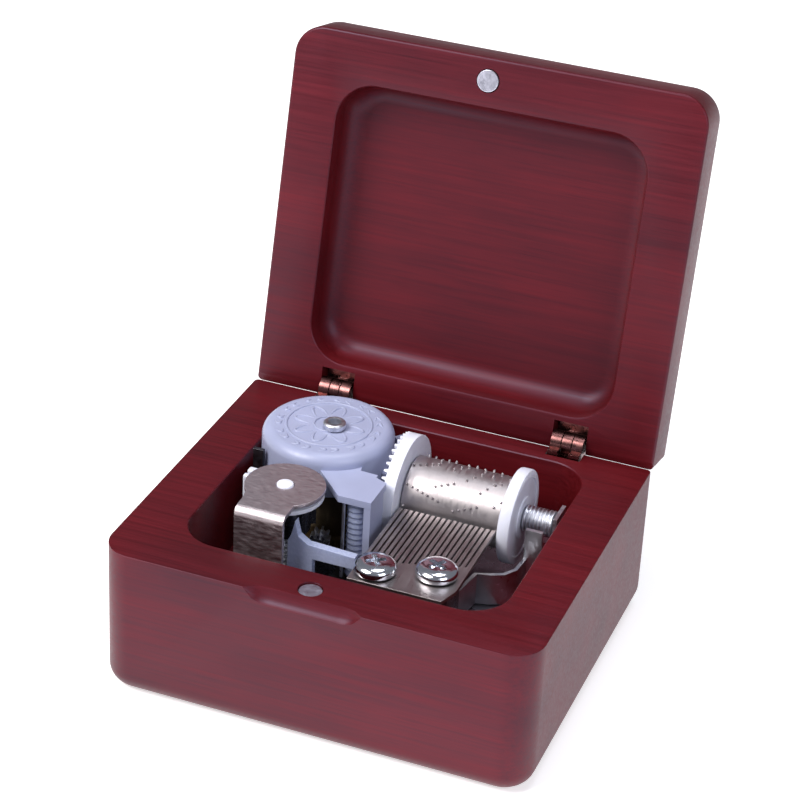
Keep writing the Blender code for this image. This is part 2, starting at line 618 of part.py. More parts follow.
def make_comb(steel):
    """Steel comb; each tooth is longer than the one to its right."""
    outline = [(COMB_LEFT, COMB_FRONT), (COMB_RIGHT - COMB_CORNER * 0.25, COMB_FRONT),
               (COMB_RIGHT + 0.3 * MM, COMB_FRONT + COMB_CORNER)]
    slope = (COMB_ROOT_RIGHT - COMB_ROOT_LEFT) / (COMB_RIGHT - COMB_LEFT)
    for i in reversed(range(COMB_TEETH)):
        left = COMB_LEFT + i * COMB_PITCH
        right = left + COMB_PITCH - COMB_SLOT
        outline += [(right, COMB_TIP_Y), (left, COMB_TIP_Y)]
        if i > 0:
            root = COMB_ROOT_LEFT + slope * (left - COMB_LEFT)
            outline += [(left, root), (left - COMB_SLOT, root)]
    comb = add_object("comb", prism(outline, COMB_BOTTOM, COMB_TOP), steel)
    for i, (x, y) in enumerate(COMB_SCREWS):
        cut(comb, rod(SCREW_RADIUS + SHAFT_FIT, 0, BASE_HEIGHT, 16), f"cut_comb_hole_{i}", (x, y, 0))
    return comb


def cross_recess(top, reach, depth, width):
    """Cross-shaped hollow for a screwdriver."""
    outline = [(reach, -width), (reach, width), (width, width), (width, reach), (-width, reach),
               (-width, width), (-reach, width), (-reach, -width), (-width, -width),
               (-width, -reach), (width, -reach), (width, -width)]
    return prism(outline, top - depth, top + 1 * MM)


def make_comb_screws(zinc):
    seat = COMB_TOP + SEAT_GAP
    crown = seat + SCREW_HEAD_HEIGHT
    shank_end = COMB_TOP - SCREW_LENGTH
    for i, (x, y) in enumerate(COMB_SCREWS):
        head = [(0, shank_end), (SCREW_RADIUS, shank_end), (SCREW_RADIUS, seat),
                (SCREW_HEAD_RADIUS, seat), (SCREW_HEAD_RADIUS, seat + 1.0 * MM),
                (SCREW_HEAD_RADIUS * 0.93, seat + 1.6 * MM), (SCREW_HEAD_RADIUS * 0.75, crown - 0.2 * MM),
                (SCREW_HEAD_RADIUS * 0.4, crown), (0, crown)]
        screw = place(add_object(f"comb_screw_{i + 1}", lathe(head, 20), zinc), (x, y, 0))
        cut(screw, cross_recess(crown, 2.1 * MM, 1.2 * MM, 0.45 * MM), f"cut_cross_{i}",
            (x, y, 0), (0, 0, math.radians(35 + 25 * i)))


def make_fixing_screws(zinc):
    seat = KEY_RECESS_DEPTH - SEAT_GAP
    low = seat - 2.0 * MM
    for i, (x, y) in enumerate(FIXING_SCREWS):
        head = [(0, low), (FIXING_HEAD_RADIUS * 0.8, low), (FIXING_HEAD_RADIUS, low + 0.6 * MM),
                (FIXING_HEAD_RADIUS, seat), (FIXING_RADIUS, seat), (FIXING_RADIUS, BED_TOP - 0.2 * MM),
                (0, BED_TOP - 0.2 * MM)]
        screw = place(add_object(f"fixing_screw_{i + 1}", lathe(head, 16), zinc), (x, y, 0))
        cut(screw, cross_recess(0, 1.4 * MM, 1.0 * MM, 0.35 * MM), f"cut_fixing_cross_{i}",
            (x, y, low), (math.pi, 0, 0))


# ---- Spring motor -----------------------------------------------------------------------
def make_drive_gear(brass, axis):
    phase = math.pi / GEAR_TEETH
    outline = gear_outline(GEAR_TEETH, GEAR_TIP, GEAR_TIP - GEAR_TOOTH, 0.36, phase)
    gear = add_object("drive_gear", prism(outline, GEAR_BOTTOM, GEAR_TOP), brass, axis)
    join(gear, rod(BARREL_RADIUS, GEAR_TOP - 1 * MM, BARREL_TOP, 36), "barrel_cup", parent=axis)
    cut(gear, rod(BARREL_RADIUS - BARREL_WALL, GEAR_TOP, BASE_HEIGHT * 2, 36), "cut_barrel", parent=axis)
    cut(gear, rod(ARBOR_RADIUS + SHAFT_FIT, 0, BASE_HEIGHT, 16), "cut_gear_bore", parent=axis)
    return gear


def make_mainspring(steel, axis):
    """Spiral band between the arbor and the barrel's wall."""
    inner = ARBOR_RADIUS + 1.2 * MM
    outer = BARREL_RADIUS - BARREL_WALL - SEAT_GAP
    steps = SPRING_TURNS * 12
    inside = []
    outside = []
    for i in range(steps + 1):
        angle = 2 * math.pi * SPRING_TURNS * i / steps
        radius = inner + (outer - SPRING_BAND - inner) * i / steps
        inside.append((radius * math.cos(angle), radius * math.sin(angle)))
        outside.append(((radius + SPRING_BAND) * math.cos(angle), (radius + SPRING_BAND) * math.sin(angle)))
    mesh_data = bmesh.new()
    bottom = GEAR_TOP + SEAT_GAP
    top = BARREL_TOP - 1 * MM
    rows = []
    for (xi, yi), (xo, yo) in zip(inside, outside):
        rows.append([mesh_data.verts.new(point) for point in
                     ((xi, yi, bottom), (xo, yo, bottom), (xo, yo, top), (xi, yi, top))])
    for first, second in zip(rows, rows[1:]):
        for i in range(4):
            j = (i + 1) % 4
            mesh_data.faces.new((first[i], first[j], second[j], second[i]))
    mesh_data.faces.new(rows[0])
    mesh_data.faces.new(list(reversed(rows[-1])))
    return add_object("mainspring", mesh_data, steel, axis)


def make_winding_arbor(steel, axis):
    low = KEY_FLOOR + 2.6 * MM
    neck = HOUSING_TOP - HOUSING_ROOF - 0.6 * MM
    top = HOUSING_TOP + EYELET_HEIGHT
    profile = [(0, low), (ARBOR_RADIUS, low), (ARBOR_RADIUS, neck), (EYELET_RADIUS - 0.5 * MM, neck),
               (EYELET_RADIUS - 0.5 * MM, HOUSING_TOP + 0.2 * MM), (EYELET_RADIUS, HOUSING_TOP + 0.2 * MM),
               (EYELET_RADIUS, top - 0.3 * MM), (EYELET_RADIUS - 0.4 * MM, top), (EYELET_BORE, top),
               (EYELET_BORE, neck + 0.6 * MM), (0, neck + 0.6 * MM)]
    return add_object("winding_arbor", lathe(profile, 24), steel, axis)


def make_winding_key(steel, axis):
    """Butterfly key, screwed on the arbor's lower end inside the recess."""
    hub_top = KEY_FLOOR + KEY_DROP
    hub = add_object("winding_key", rod(3.0 * MM, KEY_FLOOR, hub_top, 24), steel, axis)
    half = KEY_THICKNESS / 2
    for side in (-1, 1):
        wing = [(0, -half), (KEY_SPAN / 2, -half), (KEY_SPAN / 2, half), (0, half)]
        join(hub, prism(wing, KEY_FLOOR, hub_top - 1.4 * MM), f"key_wing_{side + 1}",
             rotation=(0, 0, 0 if side > 0 else math.pi), parent=axis)
        cut(hub, rod(1.9 * MM, -2 * half, 2 * half, 16), f"cut_key_eye_{side + 1}",
            (side * KEY_SPAN * 0.33, 0, KEY_FLOOR + 3.4 * MM), (math.pi / 2, 0, 0), parent=axis)
    cut(hub, rod(ARBOR_RADIUS + SHAFT_FIT, KEY_FLOOR + 2.2 * MM, BASE_HEIGHT, 24), "cut_key_bore",
        parent=axis)
    return hub


def make_spring_housing(plastic):
    """Moulded dome over the barrel, with the bridge, its leg, two feet and two bearing lugs."""
    rows = [(HOUSING_BOTTOM, arc((0, 0), HOUSING_RADIUS, 0, 360 * 39 / 40, 39))]
    for inset, drop in rounding(HOUSING_DOME, 4):
        rows.append((HOUSING_TOP - drop, arc((0, 0), HOUSING_RADIUS - inset, 0, 360 * 39 / 40, 39)))
    housing = add_object("spring_housing", loft(rows), plastic)
    place(housing, (HOUSING_X, HOUSING_Y, 0))

    bridge = [(HOUSING_X + 2 * MM, HOUSING_Y - 11.5 * MM), (BRIDGE_RIGHT - 7.2 * MM, BRIDGE_FRONT),
              (BRIDGE_RIGHT, BRIDGE_FRONT), (BRIDGE_RIGHT, BRIDGE_REAR),
              (CROWN_TIP_X - 0.7 * MM, BRIDGE_REAR + 1 * MM), (CROWN_TIP_X - 0.7 * MM, BRIDGE_REAR + 2 * MM),
              (HOUSING_RIGHT - 2.6 * MM, BRIDGE_REAR + 2.2 * MM), (HOUSING_RIGHT - 4 * MM, CYLINDER_Y - 4 * MM)]
    join(housing, prism(bridge, BRIDGE_BOTTOM, BRIDGE_TOP), "bridge_deck")
    inset = 0.1 * MM
    leg = block((BRIDGE_RIGHT - LEG_THICKNESS, BRIDGE_FRONT + inset, BED_TOP + SEAT_GAP),
                (BRIDGE_RIGHT - inset, BRIDGE_FRONT + LEG_LENGTH, BRIDGE_TOP - 0.5 * MM))
    join(housing, leg, "bridge_leg")

    reach = GEAR_TIP + 1.6 * MM
    for i, bearing in enumerate((50, 135)):
        x = SPRING_X + reach * math.cos(math.radians(bearing))
        y = SPRING_Y + reach * math.sin(math.radians(bearing))
        turn = (0, 0, math.radians(bearing))
        foot = block((-1.2 * MM, -FOOT_HALF, BED_TOP + SEAT_GAP),
                     (1.4 * MM, FOOT_HALF, HOUSING_BOTTOM + 3 * MM))
        join(housing, foot, f"housing_foot_{i}", (x, y, 0), turn)
        web = block((-4.4 * MM, -FOOT_HALF + inset, HOUSING_BOTTOM + inset),
                    (0.6 * MM, FOOT_HALF - inset, HOUSING_BOTTOM + 3 * MM - inset))
        join(housing, web, f"housing_web_{i}", (x, y, 0), turn)

    lug = block((HOUSING_RIGHT - 1.0 * MM, CYLINDER_Y - 2.6 * MM, CYLINDER_Z - 2.6 * MM),
                (HOUSING_RIGHT + 0.6 * MM, CYLINDER_Y + 2.6 * MM, HOUSING_BOTTOM + 3 * MM))
    join(housing, lug, "cylinder_lug")
    turn = (0, 0, WHEEL_BEARING)
    inner = BARREL_RADIUS + SEAT_GAP + inset
    seat = block((inner, -1.5 * MM, GEAR_TOP + 0.4 * MM), (inner + 1.4 * MM, 1.5 * MM, HOUSING_BOTTOM + 3 * MM))
    join(housing, seat, "wheel_lug", (SPRING_X, SPRING_Y, 0), turn)

    cut(housing, rod(BARREL_RADIUS + SEAT_GAP, 0, HOUSING_TOP - HOUSING_ROOF, 36), "cut_housing_inside",
        (SPRING_X, SPRING_Y, 0))
    cut(housing, rod(EYELET_RADIUS - 0.5 * MM + SHAFT_FIT, 0, BASE_HEIGHT * 2, 24), "cut_housing_eye",
        (SPRING_X, SPRING_Y, 0))
    cut(housing, rod(CYLINDER_ARBOR_RADIUS + SHAFT_FIT, -0.4 * MM, 4 * MM, 16), "cut_cylinder_lug",
        (HOUSING_RIGHT, CYLINDER_Y, CYLINDER_Z), ALONG_X)
    cut(housing, rod(WHEEL_ARBOR_RADIUS + SHAFT_FIT, inner - 1 * MM, inner + 4 * MM, 12), "cut_wheel_lug",
        (SPRING_X, SPRING_Y, WHEEL_Z), (0, math.pi / 2, WHEEL_BEARING))
    return housing


def make_clip_and_pin(dark_steel, steel):
    """Spring clip at the housing's left and the pin under the bridge's corner."""
    y = HOUSING_Y - HOUSING_RADIUS * math.sin(CLIP_BEARING)
    housing_left = HOUSING_X - math.sqrt(HOUSING_RADIUS ** 2 - (HOUSING_Y - y) ** 2)
    clip = add_object("housing_clip", block(
        (housing_left - 3.4 * MM, y - 0.45 * MM, BED_TOP + SEAT_GAP),
        (housing_left - 1.1 * MM, y + 0.45 * MM, BRIDGE_TOP)), dark_steel)
    join(clip, block((housing_left - 3.4 * MM, y - 1.6 * MM, BED_TOP + SEAT_GAP),
                     (housing_left - 1.2 * MM, y + 0.35 * MM, BED_TOP + 0.9 * MM)), "clip_foot")
    place(add_object("bridge_pin", rod(0.35 * MM, BED_TOP + SEAT_GAP, BRIDGE_BOTTOM - SEAT_GAP, 12), steel),
          (BRIDGE_RIGHT - 6.3 * MM, BRIDGE_FRONT + 1.2 * MM, 0))


# ---- Cylinder ------------------------------------------------------------------------------
def make_cylinder_gear(plastic, axis):
    """Gear with teeth on its left face; a tooth points straight down at rest."""
    mesh_data = bmesh.new()
    bore = CYLINDER_ARBOR_RADIUS + SHAFT_FIT
    inner = CROWN_RADIUS - CROWN_TOOTH_LENGTH
    back = 0.0
    floor = CROWN_THICKNESS
    valley = floor + 0.1 * MM
    tip = floor + CROWN_TOOTH_DEPTH
    pitch = 2 * math.pi / CROWN_TEETH
    rows = []
    for i in range(CROWN_TEETH):
        for share, height in ((-0.24, valley), (-0.12, tip), (0.12, tip), (0.24, valley)):
            angle = pitch * (i + share) + math.pi
            c = math.cos(angle)
            s = math.sin(angle)
            rows.append([mesh_data.verts.new((r * c, r * s, z)) for r, z in (
                (bore, back), (CROWN_RADIUS, back), (CROWN_RADIUS, height), (inner, height),
                (inner, floor - 0.4 * MM), (bore, floor - 0.4 * MM))])
    for k in range(len(rows)):
        first = rows[k]
        second = rows[(k + 1) % len(rows)]
        for i in range(6):
            j = (i + 1) % 6
            mesh_data.faces.new((first[i], first[j], second[j], second[i]))
    gear = add_object("cylinder_gear", mesh_data, plastic, axis, 25)
    return place(gear, (CROWN_ROOT_X + CROWN_THICKNESS, 0, 0), AGAINST_X)


def make_cylinder(metal, plastic, steel, axis):
    bore = CYLINDER_ARBOR_RADIUS + SHAFT_FIT
    place(add_object("music_cylinder", tube(DRUM_RADIUS, bore, 0, DRUM_LENGTH, 40), metal, axis),
          (DRUM_LEFT, 0, 0), ALONG_X)
    edge = 0.5 * MM
    cap = lathe([(bore, 0), (END_CAP_RADIUS - edge, 0), (END_CAP_RADIUS, edge),
                 (END_CAP_RADIUS, END_CAP_THICKNESS - edge), (END_CAP_RADIUS - edge, END_CAP_THICKNESS),
                 (bore, END_CAP_THICKNESS)], 40)
    place(add_object("cylinder_end_cap", cap, plastic, axis), (END_CAP_LEFT, 0, 0), ALONG_X)
    arbor_left = HOUSING_RIGHT + SEAT_GAP - 0.4 * MM
    arbor = rod(CYLINDER_ARBOR_RADIUS, 0, COIL_RIGHT + 1.0 * MM - arbor_left, 16)
    place(add_object("cylinder_arbor", arbor, steel, axis), (arbor_left, 0, 0), ALONG_X)
    pitch = COIL_LENGTH / COIL_RIDGES
    profile = [(bore, 0)]
    for i in range(COIL_RIDGES):
        start = pitch * i
        profile += [(COIL_RADIUS - COIL_GROOVE, start), (COIL_RADIUS, start + pitch * 0.3),
                    (COIL_RADIUS, start + pitch * 0.7)]
    profile += [(COIL_RADIUS - COIL_GROOVE, COIL_LENGTH), (bore, COIL_LENGTH)]
    place(add_object("arbor_spring", lathe(profile, 16), steel, axis), (COIL_LEFT, 0, 0), ALONG_X)


def sheet(path, thickness, bottom, top):
    """Upright sheet metal that follows a path of (x, y) points."""
    left = []
    right = []
    for i, point in enumerate(path):
        before = Vector(path[max(i - 1, 0)])
        after = Vector(path[min(i + 1, len(path) - 1)])
        along = (after - before).normalized()
        across = Vector((-along.y, along.x)) * thickness / 2
        centre = Vector(point)
        left.append(tuple(centre + across))
        right.append(tuple(centre - across))
    return prism(right + left[::-1], bottom, top)


def make_cylinder_bracket(steel):
    """Bent sheet that carries the cylinder's right end."""
    plate_x = COIL_RIGHT + 0.75 * MM
    path = [(COMB_RIGHT - 2.4 * MM, -7.5 * MM), (COMB_RIGHT - 1.2 * MM, 0.0), (DRUM_RIGHT + 1.4 * MM, 0.9 * MM),
            (COIL_LEFT + 0.6 * MM, 2.2 * MM), (COIL_LEFT + 2.2 * MM, 4.8 * MM),
            (COIL_LEFT + 2.6 * MM, 9.6 * MM),
            (plate_x - 0.6 * MM, 11.2 * MM), (plate_x, 13.4 * MM), (plate_x, CYLINDER_Y + 3.2 * MM)]
    bracket = add_object("cylinder_bracket", sheet(path, 0.8 * MM, BED_TOP + SEAT_GAP, CYLINDER_Z - 5.4 * MM),
                         steel)
    plate = block((plate_x - 0.4 * MM, CYLINDER_Y - 3.0 * MM, BED_TOP + 2 * MM),
                  (plate_x + 0.4 * MM, CYLINDER_Y + 3.2 * MM, CYLINDER_Z + 3.0 * MM))
    join(bracket, plate, "bearing_plate")
    tab = block((COIL_LEFT + 2.2 * MM, 9.4 * MM, CYLINDER_Z - 6.4 * MM),
                (COIL_LEFT + 5.8 * MM, 10.3 * MM, CYLINDER_Z + 1.4 * MM))
    join(bracket, tab, "bracket_tab")
    cut(bracket, rod(CYLINDER_ARBOR_RADIUS + SHAFT_FIT, -2 * MM, 2 * MM, 16), "cut_bearing",
        (plate_x, CYLINDER_Y, CYLINDER_Z), ALONG_X)
    return bracket


# ---- Governor ------------------------------------------------------------------------------
def make_worm_wheel(dark_plastic, steel, axis):
    """Wheel, pinion and arbor on one level axis that points from the winding axis to the wheel."""
    outline = gear_outline(WHEEL_TEETH, WHEEL_RADIUS, WHEEL_RADIUS - WHEEL_TOOTH, 0.42, math.pi / WHEEL_TEETH)
    wheel = add_object("worm_wheel", prism(outline, -WHEEL_THICKNESS / 2, WHEEL_THICKNESS / 2),
                       dark_plastic, axis)
    cut(wheel, rod(WHEEL_ARBOR_RADIUS + SHAFT_FIT, -5 * MM, 5 * MM, 12), "cut_wheel_bore", parent=axis)
    past_gap = WHEEL_BEARING % (2 * math.pi / GEAR_TEETH)
    outline = gear_outline(PINION_TEETH, PINION_RADIUS, PINION_ROOT, 0.38,
                           -past_gap * GEAR_TEETH / PINION_TEETH)
    pinion = add_object("wheel_pinion", prism(outline, PINION_INNER, PINION_OUTER), steel, axis)
    cut(pinion, rod(WHEEL_ARBOR_RADIUS + SHAFT_FIT, -20 * MM, 20 * MM, 12), "cut_pinion_bore", parent=axis)
    inner_end = BARREL_RADIUS + 2 * SEAT_GAP - WHEEL_REACH + 0.1 * MM
    add_object("wheel_arbor", rod(WHEEL_ARBOR_RADIUS, inner_end, WHEEL_ARBOR_REACH, 12), steel, axis)


def make_worm(steel, axis):
    """Single-start worm: its radius follows a screw thread over a grid of rings."""
    pitch = 2 * math.pi * (WHEEL_RADIUS - WHEEL_TOOTH / 2) / WHEEL_TEETH
    sides = 10
    rows_per_turn = 6
    count = int(WORM_LENGTH / pitch * rows_per_turn)
    toward_wheel = WHEEL_BEARING + math.pi / 2
    mesh_data = bmesh.new()
    rings = []
    for k in range(count + 1):
        z = -WORM_LENGTH / 2 + WORM_LENGTH * k / count
        ring = []
        for i in range(sides):
            angle = 2 * math.pi * i / sides
            turn = (z / pitch - angle / (2 * math.pi) + 0.5) % 1.0
            rise = max(0.0, min(1.0, (0.27 - abs(turn - 0.5)) / 0.12))
            radius = WORM_RADIUS - WORM_DEPTH * (1 - rise)
            at = angle + toward_wheel
            ring.append(mesh_data.verts.new((radius * math.cos(at), radius * math.sin(at), WHEEL_Z + z)))
        rings.append(ring)
    for first, second in zip(rings, rings[1:]):
        for i in range(sides):
            j = (i + 1) % sides
            mesh_data.faces.new((first[i], first[j], second[j], second[i]))
    mesh_data.faces.new(list(reversed(rings[0])))
    mesh_data.faces.new(rings[-1])
    worm = add_object("worm", mesh_data, steel, axis)
    cut(worm, rod(FLY_SHAFT_RADIUS + SHAFT_FIT, 0, BASE_HEIGHT, 12), "cut_worm_bore", parent=axis)
    return worm


def make_fly(dark_plastic, pale_plastic, steel, axis):
    """Air brake: a finned drum under a disc, on the worm's shaft."""
    top = FLY_DISC_BOTTOM - SEAT_GAP
    fan = add_object("fly_fan", rod(FLY_RADIUS - 1 * MM, FLY_BOTTOM, top, 32), dark_plastic, axis)
    for i in range(3):
        fin = block((-FLY_RADIUS, -0.5 * MM, FLY_BOTTOM + 0.4 * MM), (FLY_RADIUS, 0.5 * MM, top - 0.4 * MM))
        join(fan, fin, f"fly_fin_{i}", rotation=(0, 0, math.pi / 3 * i + math.pi / 6), parent=axis)
    cut(fan, rod(FLY_SHAFT_RADIUS + SHAFT_FIT, 0, BASE_HEIGHT * 2, 12), "cut_fan_bore", parent=axis)
    bore = FLY_SHAFT_RADIUS + SHAFT_FIT
    add_object("fly_disc", tube(FLY_DISC_RADIUS, bore, FLY_DISC_BOTTOM, FLY_DISC_TOP, 40), pale_plastic, axis)
    add_object("fly_shaft", rod(FLY_SHAFT_RADIUS, BED_TOP + SEAT_GAP, CAP_BOTTOM - 0.4 * MM, 12), steel, axis)


def make_governor_bracket(nickel, pale_plastic, zinc):
    """Strap that rises from the bedplate, bends back and ends in a round cap over the fly."""
    half = CAP_THICKNESS
    front = STRAP_FRONT
    top = CAP_TOP
    profile = [(front + half, BED_TOP + SEAT_GAP + half), (front + half, top - STRAP_BEND)]
    centre = (front + STRAP_BEND, top - STRAP_BEND)
    profile += arc(centre, STRAP_BEND - half, 180, 90, 4)[1:]
    profile += [(FLY_Y, CAP_BOTTOM), (FLY_Y, CAP_TOP)]
    profile += arc(centre, STRAP_BEND, 90, 180, 5)
    profile += [(front, BED_TOP + SEAT_GAP), (front + 4.6 * MM, BED_TOP + SEAT_GAP),
                (front + 4.6 * MM, BED_TOP + SEAT_GAP + half)]
    bracket = add_object("governor_bracket", extrude_x(profile, STRAP_LEFT, STRAP_RIGHT), nickel)
    join(bracket, rod(CAP_RADIUS, CAP_BOTTOM, CAP_TOP, 48), "governor_cap", (FLY_X, FLY_Y, 0))
    cut(bracket, rod(1.9 * MM, 0, BASE_HEIGHT * 2, 24), "cut_pivot_hole", (FLY_X, FLY_Y, 0))
    screw_x = (STRAP_LEFT + STRAP_RIGHT) / 2 + 1.6 * MM
    screw_y = front + 2.9 * MM
    cut(bracket, rod(0.9 * MM, 0, CAP_BOTTOM - 2 * MM, 16), "cut_strap_screw", (screw_x, screw_y, 0))

    dot = lathe([(0, CAP_BOTTOM - 0.2 * MM), (1.75 * MM, CAP_BOTTOM - 0.2 * MM),
                 (1.75 * MM, CAP_TOP + 0.2 * MM), (1.4 * MM, CAP_TOP + 0.4 * MM), (0, CAP_TOP + 0.45 * MM)], 24)
    place(add_object("pivot_bearing", dot, pale_plastic), (FLY_X, FLY_Y, 0))

    seat = BED_TOP + SEAT_GAP + half + SEAT_GAP
    head = [(0, BED_TOP + 0.1 * MM), (0.75 * MM, BED_TOP + 0.1 * MM), (0.75 * MM, seat), (1.7 * MM, seat),
            (1.7 * MM, seat + 0.7 * MM), (1.2 * MM, seat + 1.1 * MM), (0, seat + 1.1 * MM)]
    place(add_object("bracket_screw", lathe(head, 16), zinc), (screw_x, screw_y, 0))


def make_governor_frame(clear_plastic):
    """Moulded frame with a pointed fin, an arm that reaches to the comb and a bearing lug."""
    low = BED_TOP + SEAT_GAP
    front = FLY_Y - FLY_RADIUS - 1.0 * MM
    rear = front + FRAME_THICKNESS
    top = COMB_TOP + 0.6 * MM
    under = top - ARM_HEIGHT
    left = STRAP_RIGHT - 0.9 * MM
    right = COMB_LEFT - 1.0 * MM
    lug_x = WHEEL_X + (rear - WHEEL_Y) / math.tan(WHEEL_BEARING)
    profile = [(left, low), (left + 2.2 * MM, low), (left + 2.6 * MM, under - 1.0 * MM),
               (lug_x - LUG_HALF, under), (lug_x - LUG_HALF, WHEEL_Z - LUG_HALF),
               (lug_x + LUG_HALF, WHEEL_Z - LUG_HALF), (lug_x + LUG_HALF, under), (right, under),
               (right, top - 0.4 * MM), (left + 4.4 * MM, top), (left + 2.3 * MM, top + 1.4 * MM),
               (left + 1.5 * MM, FLY_DISC_BOTTOM - 0.5 * MM), (left + 0.7 * MM, top + 1.4 * MM), (left, top)]
    mesh_data = bmesh.new()
    near = [mesh_data.verts.new((x, front, z)) for x, z in profile]
    far = [mesh_data.verts.new((x, rear, z)) for x, z in profile]
    mesh_data.faces.new(near)
    mesh_data.faces.new(list(reversed(far)))
    for i in range(len(profile)):
        j = (i + 1) % len(profile)
        mesh_data.faces.new((near[i], near[j], far[j], far[i]))
    frame = add_object("governor_frame", mesh_data, clear_plastic)
    cut(frame, rod(WHEEL_ARBOR_RADIUS + SHAFT_FIT, 0, WHEEL_ARBOR_REACH + SEAT_GAP, 12), "cut_lug_bore",
        (WHEEL_X, WHEEL_Y, WHEEL_Z), (0, math.pi / 2, WHEEL_BEARING))
    return frame


def make_posts(pale_plastic, clear_plastic):
    """White post beside the cap and the ribbed post under the bridge."""
    left = FLY_X - CAP_RADIUS - 1.9 * MM
    post = add_object("governor_post", block(
        (left, FLY_Y + 1.6 * MM, BED_TOP + SEAT_GAP),
        (left + 2.2 * MM, FLY_Y + 5.6 * MM, CAP_BOTTOM - 0.4 * MM)),
        pale_plastic)
    cut(post, block((left - 1 * MM, FLY_Y + 3.0 * MM, CAP_BOTTOM - 2.0 * MM),
                    (left + 4 * MM, FLY_Y + 3.8 * MM, CAP_BOTTOM + 1 * MM)), "cut_post_slot")
    ribs = 14
    bottom = BED_TOP + SEAT_GAP
    top = BRIDGE_BOTTOM - SEAT_GAP
    pitch = (top - bottom) / ribs
    profile = [(0, bottom)]
    for i in range(ribs):
        start = bottom + pitch * i
        profile += [(1.9 * MM, start), (2.15 * MM, start + pitch * 0.4)]
    profile += [(1.9 * MM, top), (0, top)]
    place(add_object("ribbed_post", lathe(profile, 12), clear_plastic),
          (BRIDGE_RIGHT - LEG_THICKNESS - 2.6 * MM, BRIDGE_FRONT + 3.4 * MM, 0))


# ---- Whole model ---------------------------------------------------------------------------
def main():
    for old in list(bpy.data.objects):
        bpy.data.objects.remove(old)

    wood = material("mahogany_lacquer", (0.23, 0.02, 0.02), 0.32)
    bronze = material("bronze", (0.45, 0.22, 0.14), 0.3, 1.0)
    magnet = material("nickel_magnet", (0.75, 0.75, 0.78), 0.25, 1.0)
    cast = material("cast_zinc", (0.35, 0.35, 0.38), 0.4, 1.0)
    comb_steel = material("comb_steel", (0.42, 0.38, 0.37), 0.35, 1.0)
    steel = material("steel", (0.6, 0.6, 0.63), 0.25, 1.0)
    dark_steel = material("dark_steel", (0.12, 0.12, 0.14), 0.4, 1.0)
    zinc = material("bright_zinc", (0.8, 0.82, 0.86), 0.2, 1.0)
    nickel = material("nickel", (0.55, 0.5, 0.48), 0.2, 1.0)
    brass = material("brass", (0.6, 0.45, 0.2), 0.35, 1.0)
    drum = material("drum_metal", (0.75, 0.72, 0.68), 0.3, 1.0)
    lavender = material("lavender_plastic", (0.62, 0.62, 0.72), 0.4)
    white = material("white_plastic", (0.85, 0.86, 0.92), 0.35)
    clear = material("clear_plastic", (0.6, 0.65, 0.78), 0.25)
    black = material("black_plastic", (0.02, 0.02, 0.025), 0.25)

    hinge_axis = empty("lid_axis", (0, HINGE_Y, HINGE_Z), (-OPEN_ANGLE, 0, 0))
    closed_frame = empty("lid_closed_frame", (0, -HINGE_Y, -HINGE_Z), parent=hinge_axis)
    winding_axis = empty("winding_axis", (SPRING_X, SPRING_Y, 0))
    cylinder_axis = empty("cylinder_axis", (0, CYLINDER_Y, CYLINDER_Z))
    fly_axis = empty("fly_axis", (FLY_X, FLY_Y, 0))
    wheel_axis = empty("wheel_axis", (WHEEL_X, WHEEL_Y, WHEEL_Z), (0, math.pi / 2, WHEEL_BEARING))

    make_base(wood)
    make_lid(wood, closed_frame)
    make_magnets(magnet, closed_frame)
    make_hinges(bronze, closed_frame)
    make_bedplate(cast)
    make_comb(comb_steel)
    make_comb_screws(zinc)
    make_fixing_screws(zinc)
    make_drive_gear(brass, winding_axis)
    make_mainspring(dark_steel, winding_axis)
    make_winding_arbor(steel, winding_axis)
    make_winding_key(zinc, winding_axis)
    make_spring_housing(lavender)
    make_clip_and_pin(dark_steel, steel)
    make_cylinder_gear(white, cylinder_axis)
    make_cylinder(drum, white, steel, cylinder_axis)
    make_cylinder_bracket(steel)
    make_worm_wheel(black, steel, wheel_axis)
    make_worm(steel, fly_axis)
    make_fly(black, white, steel, fly_axis)
    make_governor_bracket(nickel, white, zinc)
    make_governor_frame(clear)
    make_posts(white, clear)


main()
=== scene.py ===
import math

import bmesh
import bpy
from mathutils import Euler, Matrix, Vector


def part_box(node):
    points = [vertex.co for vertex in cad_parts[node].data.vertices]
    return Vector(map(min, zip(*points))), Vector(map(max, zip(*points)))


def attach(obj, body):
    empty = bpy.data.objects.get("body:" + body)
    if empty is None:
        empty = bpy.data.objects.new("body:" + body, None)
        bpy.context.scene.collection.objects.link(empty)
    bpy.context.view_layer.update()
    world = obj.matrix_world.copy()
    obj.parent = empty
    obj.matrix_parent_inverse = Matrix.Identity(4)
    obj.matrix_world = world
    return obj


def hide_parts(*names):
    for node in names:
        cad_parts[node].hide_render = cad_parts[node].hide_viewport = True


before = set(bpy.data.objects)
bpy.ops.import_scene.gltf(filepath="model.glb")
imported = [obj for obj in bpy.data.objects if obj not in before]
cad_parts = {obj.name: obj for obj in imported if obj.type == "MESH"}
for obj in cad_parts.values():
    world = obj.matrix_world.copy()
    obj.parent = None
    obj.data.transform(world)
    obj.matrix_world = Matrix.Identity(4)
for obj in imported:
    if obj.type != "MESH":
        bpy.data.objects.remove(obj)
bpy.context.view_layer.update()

MM = 0.001

